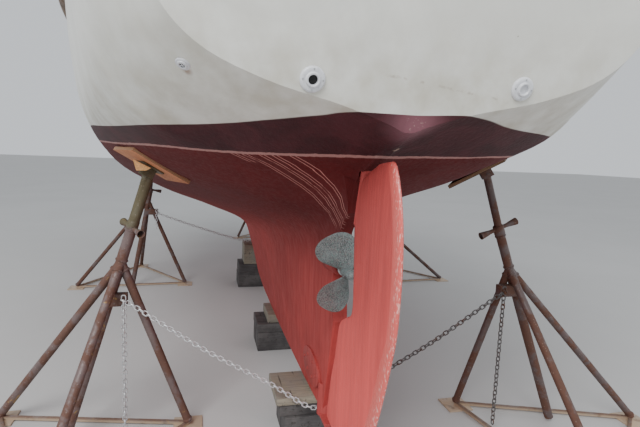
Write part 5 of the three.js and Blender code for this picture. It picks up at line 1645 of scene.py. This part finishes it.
def build_blocks(settings):
    wood = timber("block_timber", settings.yacht_timber.blocks, turn=ATHWART, fineness=42.0,
                  weathered=0.35)
    # The top timber of each stack is paler than those under it
    pale_top_timber = timber("block_timber_pale", (0.30, 0.26, 0.19), turn=ATHWART, fineness=42.0,
                   weathered=0.6)
    for name, layers in STACKS.items():
        form = bmesh.new()
        for level, (x, half, low, high, count) in enumerate(layers):
            depth = (STACK_DEPTH + STACK_GAP) / count - STACK_GAP
            for index in range(count):
                aft = x + index * (depth + STACK_GAP)
                block(form, (aft, -half, low + 0.3), (aft + depth, half, high), 0.005,
                      slot=1 if level == 2 else 0)
        if name == "fore":
            face_outward(form)
            form = cut_out(form, [hull_form()])
        for vertex in form.verts:
            place = (vertex.co - BOAT_ORIGIN) * 1000
            if place.z < -1215 and place.z > FLOOR_Z + 5:
                vertex.co.x += 0.0015 * math.sin(place.y * 0.045 + place.z * 0.11)
        piece = finish_piece(f"timber_stack_{name}", form, SHIP, "weathered_timber", wood, pale_top_timber)
        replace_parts(piece, f"keel_blocks_{name}")


# Cabin, cockpit and deck gear

def build_cabin(settings):
    paint, timbers, metals = settings.yacht_paint, settings.yacht_timber, settings.yacht_metal
    shell = gelcoat("cabin_gelcoat", paint.deck)
    glass = tinted_acrylic("window_acrylic")
    steel = polished_metal("frame_steel", metals.stainless, 0.25)
    teak = timber("rail_teak", timbers.teak, fineness=70.0, weathered=0.4)
    soften("cabin_trunk", 0.012, SHIP, "deck_gelcoat", shell, crease=32)
    for side, sign in SIDES:
        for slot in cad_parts[f"cabin_window_{side}"].material_slots:
            slot.material = glass
        rail = bmesh.new()
        posts = [(3300 + 420 * step, 0.56) for step in range(5)]
        tops = []
        for x, share in posts:
            edge, edge_z, rise = (between(TRUNK, column, x) for column in (2, 3, 4))
            y = sign * edge * share
            z = edge_z + rise * 0.75 * (1 - share) / 0.5 - 8
            lathe(rail, [(0, 0), (0.017, 0), (0.014, 0.05), (0, 0.05)], at(x, y, z), UP, 14)
            tops.append(at(x, y, z + 56))
        tube(rail, smooth_line(tops, 5), 0.015, 14)
        finish_piece(f"grab_rail_{side}", rail, SHIP, "teak", teak)
        ports = bmesh.new()
        for x in (4700, 5120, 5500):
            base, edge, edge_z = (between(TRUNK, column, x) for column in (1, 2, 3))
            ahead = between(TRUNK, 1, x + 60) - between(TRUNK, 1, x - 60)
            slope = Vector((0, sign * (edge_z - 1040), base - edge)).normalized()
            run = Vector((120, sign * ahead, 0)).normalized()
            slope = run.cross(slope.cross(run)).normalized()
            y = base + (edge - base) * (1235 - 1000) / (edge_z - 1040)
            middle = at(x, sign * y, 1235)
            slope = slope if slope.y * sign > 0 else -slope
            for radius, depth, slot in (((0.098, 0.050), 0.010, 0), ((0.082, 0.036), 0.0115, 1)):
                rings = []
                for scale, height in ((1, -0.004), (1, depth - 0.002), (0.97, depth)):
                    long, short = run * radius[0] * scale, slope.cross(run) * radius[1] * scale
                    rings.append(oval(middle + slope * height, long, short, 40))
                loft(ports, rings, slot)
        finish_piece(f"portlights_{side}", ports, SHIP, "stainless_steel", steel, glass)
    soften("sliding_hatch", 0.010, "sliding_hatch", "deck_gelcoat", shell)
    soften("fore_hatch", 0.006, "fore_hatch", "tinted_acrylic", glass)
    hinges = bmesh.new()
    for y in (-180, 180):
        block(hinges, (5845, y - 30, 1520.5), (5873, y + 30, 1524), 0.001)
    finish_piece("fore_hatch_hinges", hinges, "fore_hatch", "stainless_steel", steel)
    handle = bmesh.new()
    block(handle, (2440, -60, 1550.6), (2465, 60, 1570), 0.006)
    finish_piece("sliding_hatch_grip", handle, "sliding_hatch", "teak", teak)
    varnished = timber("washboard_teak", timbers.varnish, turn=ATHWART, fineness=80.0, varnish=0.6)
    boards = bmesh.new()
    for z in range(3):
        block(boards, (2455, -288.5, 640.5 + 291 * z), (2480, 288.5, 929 + 291 * z), 0.003)
    for slat in range(6):
        block(boards, (2450, -170, 1290 + 26 * slat), (2457, 170, 1302 + 26 * slat), 0.002)
    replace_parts(finish_piece("washboard_set", boards, SHIP, "teak", varnished), "washboards")
    iron = plastic("engine_enamel", (0.16, 0.23, 0.20), 0.45)
    engine = bmesh.new()
    block(engine, (1750, -170, -269), (2350, 170, -40), 0.02)
    block(engine, (1850, -110, -45), (2280, 110, 110), 0.02)
    for x in (1900, 2010, 2120, 2230):
        lathe(engine, [(0, 0), (0.03, 0), (0.03, 0.018), (0, 0.018)], at(x, 0, 108), UP, 20)
    for x in (1800, 2290):
        block(engine, (x - 30, -219, -200), (x + 30, 219, -180), 0.004)
    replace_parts(finish_piece("engine_block", engine, SHIP, "engine_iron", iron), "engine")


# Radius and height
WINCH = ((0, 0), (58, 0), (58, 5), (56, 16), (46, 20), (37, 28), (32, 42), (30.5, 58), (31, 74), (35, 84),
         (38, 90), (38, 98), (36, 103), (14, 104), (14, 96), (0, 96))
WINCH_RIB = ((32.5, 36), (31.2, 58), (32.2, 78))


def build_cockpit(settings):
    timbers, metals = settings.yacht_timber, settings.yacht_metal
    teak = timber("coaming_teak", timbers.teak, fineness=70.0, weathered=0.5)
    soften("cockpit_coaming", 0.008, SHIP, "teak", teak)
    planks = timber("lid_teak", timbers.teak, fineness=80.0, weathered=0.35, plank=timbers.plank)
    steel = polished_metal("winch_steel", metals.stainless, 0.22)
    for side, sign in SIDES:
        soften(f"cockpit_lid_{side}", 0.004, f"cockpit_lid_{side}", "teak", planks)
        winch = bmesh.new()
        base = at(1000, sign * 765, 1180.3)
        lathe(winch, scaled(WINCH), base, UP, 48)
        for rib in range(20):
            way = Matrix.Rotation(rib * math.pi / 10, 3, "Z") @ FORWARD
            tube(winch, [base + way * out + UP * high for out, high in scaled(WINCH_RIB)], 0.0016, 6)
        piece = finish_piece(f"winch_{side}_turned", winch, SHIP, "stainless_steel", steel)
        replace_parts(piece, f"winch_{side}")
    slat = bmesh.new()
    slab(slat, (0.022, 0.56, 0.016), Matrix(), 0.002)
    line = [at(130, 0, 246), at(2150, 0, 246)]
    repeat_along("cockpit_grating", line, slat, 0.042, 0.0, SHIP, "teak",
                 timber("grating_teak", timbers.teak, turn=ATHWART, fineness=90.0, weathered=0.5))
    runners = bmesh.new()
    for y in (-230, 0, 230):
        block(runners, (110, y - 12, 230.4), (2170, y + 12, 240), 0.001)
    finish_piece("grating_bearers", runners, SHIP, "teak", teak)
    deck = bmesh.new()
    for x, y, turn in ((250, 760, 0), (250, -760, 0), (6900, 560, 0.3), (6900, -560, -0.3)):
        middle = deck_point(x, y / section(x)[1][0].y, DECK_THICKNESS)
        spot = at(*middle)
        along = Matrix.Rotation(turn, 3, "Z") @ FORWARD
        for shift in (-0.045, 0.045):
            lathe(deck, [(0, -0.006), (0.022, -0.006), (0.014, 0.035), (0, 0.035)], spot + along * shift,
                  UP, 16)
        horns = ((-125, 52), (-70, 42), (70, 42), (125, 52))
        route = [spot + along * out + UP * high for out, high in scaled(horns)]
        tube(deck, smooth_line(route, 4), 0.011, 12)
    finish_piece("deck_cleats", deck, SHIP, "stainless_steel", steel)


# Guard rails

# Stanchions: X, share of the deck's half width and height
POSTS = (1500, 2600, 3700, 4800, 5900)
POST_SHARE, POST_HEIGHT = 0.94, 600
# Where the lifelines start by the pushpit, and X and share where they end by the pulpit
LIFELINE_AFT, LIFELINE_FORE = 700, (6830, 0.89)
LIFELINE_HEIGHTS = (585, 300)
# Radius and height of the socket round a post's foot
POST_BASE = ((12.5, -3), (34, -3), (34, 4), (26, 9), (16.5, 12), (15.5, 30), (12.5, 31))


def guard_point(x, share, height=POST_HEIGHT):
    return at(*deck_point(x, share, DECK_THICKNESS + 0.3 + height))


def rail_post(form, x, share):
    foot = guard_point(x, share, 0)
    tube(form, [foot - UP * 0.004, foot + UP * mm(POST_HEIGHT)], mm(12.5), 20)
    lathe(form, scaled(POST_BASE), foot, UP, 28, closed=True)


def build_guard_rails(settings):
    steel = polished_metal("rail_steel", settings.yacht_metal.stainless, 0.2)
    ends = {
        "pulpit": ([(6950, 0.88), (7200, 0.86), (7420, 0.8), (7600, 0.7)], [(6950, 0.88), (7420, 0.8)]),
        "pushpit": ([(620, 0.93), (330, 0.92), (60, 0.88), (10, 0.72)], [(60, 0.88), (620, 0.93)]),
    }
    for name, (corners, feet) in ends.items():
        form = bmesh.new()
        for height in (600, 300):
            half = [guard_point(x, share, height) for x, share in corners]
            other = [Vector((p.x, 2 * BOAT_ORIGIN.y - p.y, p.z)) for p in half]
            if height == 300:
                for rail in (half[:3], other[:3]):
                    tube(form, smooth_line(rail, 6), 0.011, 16)
                continue
            if name == "pulpit":
                middle = at(8800, 0, (guard_point(7600, 0).z - BOAT_ORIGIN.z) * 1000)
            else:
                middle = guard_point(0, 0)
            tube(form, smooth_line([*half, middle, *reversed(other)], 8), 0.0125, 20)
        for x, share in feet:
            for sign in (1, -1):
                rail_post(form, x, sign * share)
        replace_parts(finish_piece(f"{name}_tubes", form, SHIP, "stainless_steel", steel), name)
    for side, sign in SIDES:
        form = bmesh.new()
        for x in POSTS:
            rail_post(form, x, POST_SHARE * sign)
        for height in LIFELINE_HEIGHTS:
            line = [guard_point(x, POST_SHARE * sign, height) for x in (LIFELINE_AFT, *POSTS)]
            line.append(guard_point(LIFELINE_FORE[0], LIFELINE_FORE[1] * sign, height))
            for first, second in pairwise(line):
                tube(form, [first, second], 0.003, 8)
            for end, inner in ((line[0], line[1]), (line[-1], line[-2])):
                way = (inner - end).normalized()
                tube(form, [end + way * 0.02, end + way * 0.15], 0.006, 12)
        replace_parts(finish_piece(f"lifelines_{side}_wires", form, SHIP, "stainless_steel", steel),
                    f"lifelines_{side}")


# Spars and standing rigging

MAST = {"x": 5000, "foot": 1495, "top": 12300}
BOOM = {"pivot": 4895, "z": 2330, "nose": 4840, "end": 1050}
# Radius and height
MAST_WINCH = ((0, 0), (45, 0), (45, 12), (26, 20), (24, 55), (30, 70), (30, 80), (0, 82))


def oval_form(form, start, end, half_x, half_y, slot=0):
    """A straight spar of oval section between two places in the boat's frame."""
    along = (end - start).normalized()
    across = PORT
    other = along.cross(across).normalized()
    loft(form, [oval(place, other * half_x, across * half_y, 48) for place in (start, end)], slot)


def build_spars(settings):
    metals = settings.yacht_metal
    alloy = polished_metal("spar_anodising", metals.alloy, 0.38)
    steel = polished_metal("spar_steel", metals.stainless, 0.25)
    black = plastic("spar_end_fittings", (0.02, 0.02, 0.022), 0.45)
    x = MAST["x"]
    mast = bmesh.new()
    oval_form(mast, at(x, 0, MAST["foot"] + 0.3), at(x, 0, MAST["top"]), 0.080, 0.055)
    block(mast, (x - 110, -80, 1495.3), (x + 110, 80, 1509), 0.004, slot=1)
    block(mast, (x - 210, -28, MAST["top"] - 76), (x + 160, 28, MAST["top"] - 10), 0.006)
    block(mast, (x - 92, -9, 1900), (x - 77, 9, MAST["top"] - 90), 0.002)
    pivot, boom_z = BOOM["pivot"], BOOM["z"]
    for lift in (-40, 20):
        block(mast, (pivot - 16, -16, boom_z + lift), (x - 60, 16, boom_z + lift + 20), 0.002, slot=1)
    tube(mast, [at(pivot, 0, boom_z - 35), at(pivot, 0, boom_z + 35)], 0.006, 20, slot=1)
    for sign in (1, -1):
        block(mast, (x - 40, sign * 55 - 6, 2150), (x + 40, sign * 55 + 6, 2330), 0.004, slot=1)
        lathe(mast, scaled(MAST_WINCH), at(x, sign * 60, 2230), PORT * sign, 32, slot=1)
        for z in (2900, 3100):
            tube(mast, [at(x - 60, sign * 66, z), at(x + 60, sign * 66, z + 10)], 0.007, 12, slot=1)
            inner, outer = mirrored(50, 66, sign)
            block(mast, (x - 18, inner, z - 8), (x + 18, outer, z + 12), 0.002, slot=1)
    lamp = ((0, 0), (30, 0), (30, 50), (20, 62), (0, 64))
    lathe(mast, scaled(lamp), at(x - 60, 0, MAST["top"] - 10), UP, 24, slot=2)
    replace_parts(finish_piece("mast_tube", mast, SHIP, "spar_alloy", alloy, steel, black, crease=30), "mast")
    for side, sign in SIDES:
        low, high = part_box(f"spreader_{side}")
        root_y = low.y if sign > 0 else high.y
        form = bmesh.new()
        root = Vector((at(x, 0, 0).x, root_y, at(0, 0, 6701).z))
        tip = at(x - 10, sign * 900, 6745)
        rings = []
        for share in range(9):
            place, size = root.lerp(tip, share / 8), 1 - 0.5 * share / 8
            rings.append(oval(place, FORWARD * 0.026 * size, UP * 0.017 * size, 24))
        loft(form, rings)
        cap = ((0, -16), (11, -13), (14, 0), (11, 4), (0, 5))
        lathe(form, scaled(cap), tip, tip - root, 20, slot=1)
        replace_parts(finish_piece(f"spreader_{side}_blade", form, SHIP, "spar_alloy", alloy, black),
                    f"spreader_{side}")
    boom = bmesh.new()
    end, nose = BOOM["end"], BOOM["nose"]
    for start, stop, slot in ((end + 26, nose - 36, 0), (end, end + 30, 2), (nose - 40, nose, 2)):
        oval_form(boom, at(start, 0, boom_z), at(stop, 0, boom_z), 0.060, 0.045, slot)
    block(boom, (nose - 30, -13, boom_z - 9), (pivot - 8, 13, boom_z + 9), 0.002, slot=1)
    lathe(boom, [(0.0066, -0.009), (0.015, -0.009), (0.015, 0.009), (0.0066, 0.009)],
          at(pivot, 0, boom_z), UP, 24, slot=1, closed=True)
    block(boom, (1250, -6, boom_z + 57), (4700, 6, boom_z + 63), 0.001)
    for place in (1500, 2900, 3900):
        lathe(boom, [(0.008, -0.004), (0.016, -0.004), (0.016, 0.004), (0.008, 0.004)],
              at(place, 0, boom_z - 72), PORT, 20, slot=1, closed=True)
    piece = finish_piece("boom_tube", boom, "boom", "spar_alloy", alloy, steel, black, crease=30)
    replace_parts(piece, "boom")


# A rigging screw's body and the swaged end of its wire: radius and height over the chain plate
SCREW_BODY = ((9.5, 100), (13.5, 105), (13.5, 120), (11, 125), (11, 235), (13.5, 240), (13.5, 255),
              (9.5, 260))
WIRE_END = ((3.6, 325), (8.5, 325), (8.5, 400), (5, 415), (3.6, 415))


def build_rigging(settings):
    """The wires keep their solids; bodies of rigging screws and fork ends go over their lower ends."""
    steel = polished_metal("rigging_steel", settings.yacht_metal.stainless, 0.22)
    wires = ["forestay", "backstay", "topping_lift"]
    wires += [f"{kind}_{side}" for kind in ("cap_shroud", "lower_shrouds") for side, _ in SIDES]
    for name in wires:
        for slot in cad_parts[name].material_slots:
            slot.material = steel
    feet = [(deck_point(7640, 0), Vector((5176, 0, 12260))), (deck_point(5, 0), Vector((4774, 0, 12270)))]
    for sign in (1, -1):
        cap = deck_point(4000, sign * 0.9)
        cap.x = MAST["x"]
        feet.append((cap, Vector((4990, sign * 906, 6745))))
        feet += [(deck_point(x, sign * 0.92), Vector((5000, sign * 63, 6580))) for x in (4300, 5150)]
    form = bmesh.new()
    for foot, top in feet:
        start = at(foot.x, foot.y, foot.z + 25.3)
        up = (at(*top) - start).normalized()
        lathe(form, scaled(SCREW_BODY), start, up, 20, closed=True)
        lathe(form, scaled(WIRE_END), start, up, 16, closed=True)
        tube(form, [start + Vector((0, -0.014, 0.048)), start + Vector((0, 0.014, 0.048))], 0.006, 12)
    finish_piece("rigging_screws", form, SHIP, "stainless_steel", steel)


# Stage

CAMERA_PLACE = (-5.593, 0.809, 1.470)


def build_stage(settings):
    look = settings.yacht_stage
    forward = Vector((math.cos(look.yaw), -math.sin(look.yaw), 0))
    right = Vector((-math.sin(look.yaw), -math.cos(look.yaw), 0))
    up = UP
    ahead = forward * math.cos(look.pitch) - up * math.sin(look.pitch)
    above = forward * math.sin(look.pitch) + up * math.cos(look.pitch)
    image_right = right * math.cos(look.roll) + above * math.sin(look.roll)
    image_up = above * math.cos(look.roll) - right * math.sin(look.roll)
    camera_data = bpy.data.cameras.new("photo_camera")
    camera_data.lens = look.focal
    camera_data.sensor_width = 36
    camera_data.sensor_fit = "HORIZONTAL"
    camera_data.clip_start = 0.05
    camera_data.clip_end = 200
    camera = bpy.data.objects.new("photo_camera", camera_data)
    turned = Matrix((image_right, image_up, -ahead)).transposed().to_4x4()
    camera.matrix_world = Matrix.Translation(CAMERA_PLACE) @ turned
    bpy.context.scene.collection.objects.link(camera)
    bpy.context.scene.camera = camera

    nodes = Finish("floor_paint")
    where = nodes.place()
    cloud = nodes.mottle(where, 0.5, 0.3, 0.7)
    grit = nodes.noise(where, 240.0, 3.0)
    body = nodes.mix(cloud, tone(look.floor, 0.97), tone(look.floor, 1.02))
    body = nodes.mix(nodes.times(grit, 0.06), body, tone(look.floor, 0.8))
    finish = nodes.done(body, nodes.blend(grit, 0.85, 0.95))
    form = bmesh.new()
    bmesh.ops.create_grid(form, x_segments=2, y_segments=2, size=60)
    mesh = bpy.data.meshes.new("floor")
    form.to_mesh(mesh)
    form.free()
    mesh.materials.append(finish)
    floor = bpy.data.objects.new("floor", mesh)
    bpy.context.scene.collection.objects.link(floor)

    world = bpy.data.worlds.new("studio")
    world.use_nodes = True
    sky = world.node_tree.nodes["Background"]
    sky.inputs["Color"].default_value = (0.86, 0.90, 0.95, 1)
    sky.inputs["Strength"].default_value = look.sky
    bpy.context.scene.world = world
    lamps = (("key", (-9.5, 4.5, 7.5), (-3.5, 0.2, 1.4), 5.0, look.key),
             ("fill", (-7.0, -6.5, 3.0), (-3.0, 0.2, 1.0), 4.0, look.key * 0.1))
    for name, place, target, size, power in lamps:
        light = bpy.data.lights.new(name, "AREA")
        light.size = size
        light.energy = power
        lamp = bpy.data.objects.new(name, light)
        lamp.location = place
        lamp.rotation_euler = (Vector(target) - Vector(place)).to_track_quat("-Z", "Y").to_euler()
        bpy.context.scene.collection.objects.link(lamp)


# Operators, panel and the run

class YACHT_OT_stage(bpy.types.Operator):
    """Makes the camera, the floor and the lights."""

    bl_idname = "yacht.stage"
    bl_label = "Set the stage"

    def execute(self, context):
        build_stage(context.scene)
        return {"FINISHED"}


class YACHT_OT_hull(bpy.types.Operator):
    """Makes the painted hull with its cockpit and cabin."""

    bl_idname = "yacht.hull"
    bl_label = "Build the hull"

    def execute(self, context):
        build_hull(context.scene)
        return {"FINISHED"}


class YACHT_OT_deck(bpy.types.Operator):
    """Makes the deck, the rub rails and the toe rails."""

    bl_idname = "yacht.deck"
    bl_label = "Build the deck"

    def execute(self, context):
        build_deck(context.scene)
        return {"FINISHED"}


class YACHT_OT_rudder(bpy.types.Operator):
    """Makes the rudder with its stock and tiller."""

    bl_idname = "yacht.rudder"
    bl_label = "Build the rudder"

    def execute(self, context):
        build_rudder(context.scene)
        return {"FINISHED"}


class YACHT_OT_heel(bpy.types.Operator):
    """Makes the straps at the keel's after corner."""

    bl_idname = "yacht.heel"
    bl_label = "Build the heel fitting"

    def execute(self, context):
        build_heel_fitting(context.scene)
        return {"FINISHED"}


class YACHT_OT_propeller(bpy.types.Operator):
    """Makes the three-bladed propeller and its shaft."""

    bl_idname = "yacht.propeller"
    bl_label = "Build the propeller"

    def execute(self, context):
        build_propeller(context.scene)
        return {"FINISHED"}


class YACHT_OT_outlets(bpy.types.Operator):
    """Makes the outlets on the transom and the quarter vent."""

    bl_idname = "yacht.outlets"
    bl_label = "Build the outlets"

    def execute(self, context):
        build_outlets(context.scene)
        return {"FINISHED"}


class YACHT_OT_stands(bpy.types.Operator):
    """Makes the jack stands and their plywood pads."""

    bl_idname = "yacht.stands"
    bl_label = "Build the stands"

    def execute(self, context):
        build_stands(context.scene)
        return {"FINISHED"}


class YACHT_OT_chains(bpy.types.Operator):
    """Makes the chains between the stands, link by link."""

    bl_idname = "yacht.chains"
    bl_label = "Build the chains"

    def execute(self, context):
        build_chains(context.scene)
        return {"FINISHED"}


class YACHT_OT_blocks(bpy.types.Operator):
    """Makes the timber stacks under the keel."""

    bl_idname = "yacht.blocks"
    bl_label = "Build the keel blocks"

    def execute(self, context):
        build_blocks(context.scene)
        return {"FINISHED"}


class YACHT_OT_cabin(bpy.types.Operator):
    """Makes the cabin, its windows, hatches and washboards."""

    bl_idname = "yacht.cabin"
    bl_label = "Build the cabin"

    def execute(self, context):
        build_cabin(context.scene)
        return {"FINISHED"}


class YACHT_OT_cockpit(bpy.types.Operator):
    """Makes the coaming, lids, winches, grating and cleats."""

    bl_idname = "yacht.cockpit"
    bl_label = "Build the cockpit"

    def execute(self, context):
        build_cockpit(context.scene)
        return {"FINISHED"}


class YACHT_OT_guard_rails(bpy.types.Operator):
    """Makes the pulpit, pushpit and lifelines."""

    bl_idname = "yacht.guard_rails"
    bl_label = "Build the guard rails"

    def execute(self, context):
        build_guard_rails(context.scene)
        return {"FINISHED"}


class YACHT_OT_spars(bpy.types.Operator):
    """Makes the mast, the spreaders and the boom."""

    bl_idname = "yacht.spars"
    bl_label = "Build the spars"

    def execute(self, context):
        build_spars(context.scene)
        return {"FINISHED"}


class YACHT_OT_rigging(bpy.types.Operator):
    """Finishes the wires and makes the rigging screws."""

    bl_idname = "yacht.rigging"
    bl_label = "Build the rigging"

    def execute(self, context):
        build_rigging(context.scene)
        return {"FINISHED"}


OPERATORS = (
    YACHT_OT_stage, YACHT_OT_hull, YACHT_OT_deck, YACHT_OT_rudder, YACHT_OT_heel, YACHT_OT_propeller,
    YACHT_OT_outlets, YACHT_OT_stands, YACHT_OT_chains, YACHT_OT_blocks, YACHT_OT_cabin,
    YACHT_OT_cockpit, YACHT_OT_guard_rails, YACHT_OT_spars, YACHT_OT_rigging,
)


class YACHT_PT_sidebar(bpy.types.Panel):
    """Lists the yacht's operators and settings."""

    bl_label = "Laid-up yacht"
    bl_space_type = "VIEW_3D"
    bl_region_type = "UI"
    bl_category = "Yacht"

    def draw(self, context):
        layout = self.layout
        for name in ("yacht_paint", "yacht_timber", "yacht_metal", "yacht_stage"):
            group = getattr(context.scene, name)
            for key in group.bl_rna.properties.keys():
                if key not in ("rna_type", "name"):
                    layout.prop(group, key)
        for made in OPERATORS:
            layout.operator(made.bl_idname)


SETTINGS = (("yacht_paint", YachtPaintSettings), ("yacht_timber", YachtTimberSettings),
            ("yacht_metal", YachtMetalSettings), ("yacht_stage", YachtStageSettings))


def register():
    for name, group in SETTINGS:
        bpy.utils.register_class(group)
        setattr(bpy.types.Scene, name, bpy.props.PointerProperty(type=group))
    for made in (*OPERATORS, YACHT_PT_sidebar):
        bpy.utils.register_class(made)


def unregister():
    for made in reversed((*OPERATORS, YACHT_PT_sidebar)):
        bpy.utils.unregister_class(made)
    for name, group in reversed(SETTINGS):
        delattr(bpy.types.Scene, name)
        bpy.utils.unregister_class(group)


def main():
    register()
    for made in OPERATORS:
        getattr(bpy.ops.yacht, made.bl_idname.split(".")[1])()


if __name__ == "__main__":
    main()
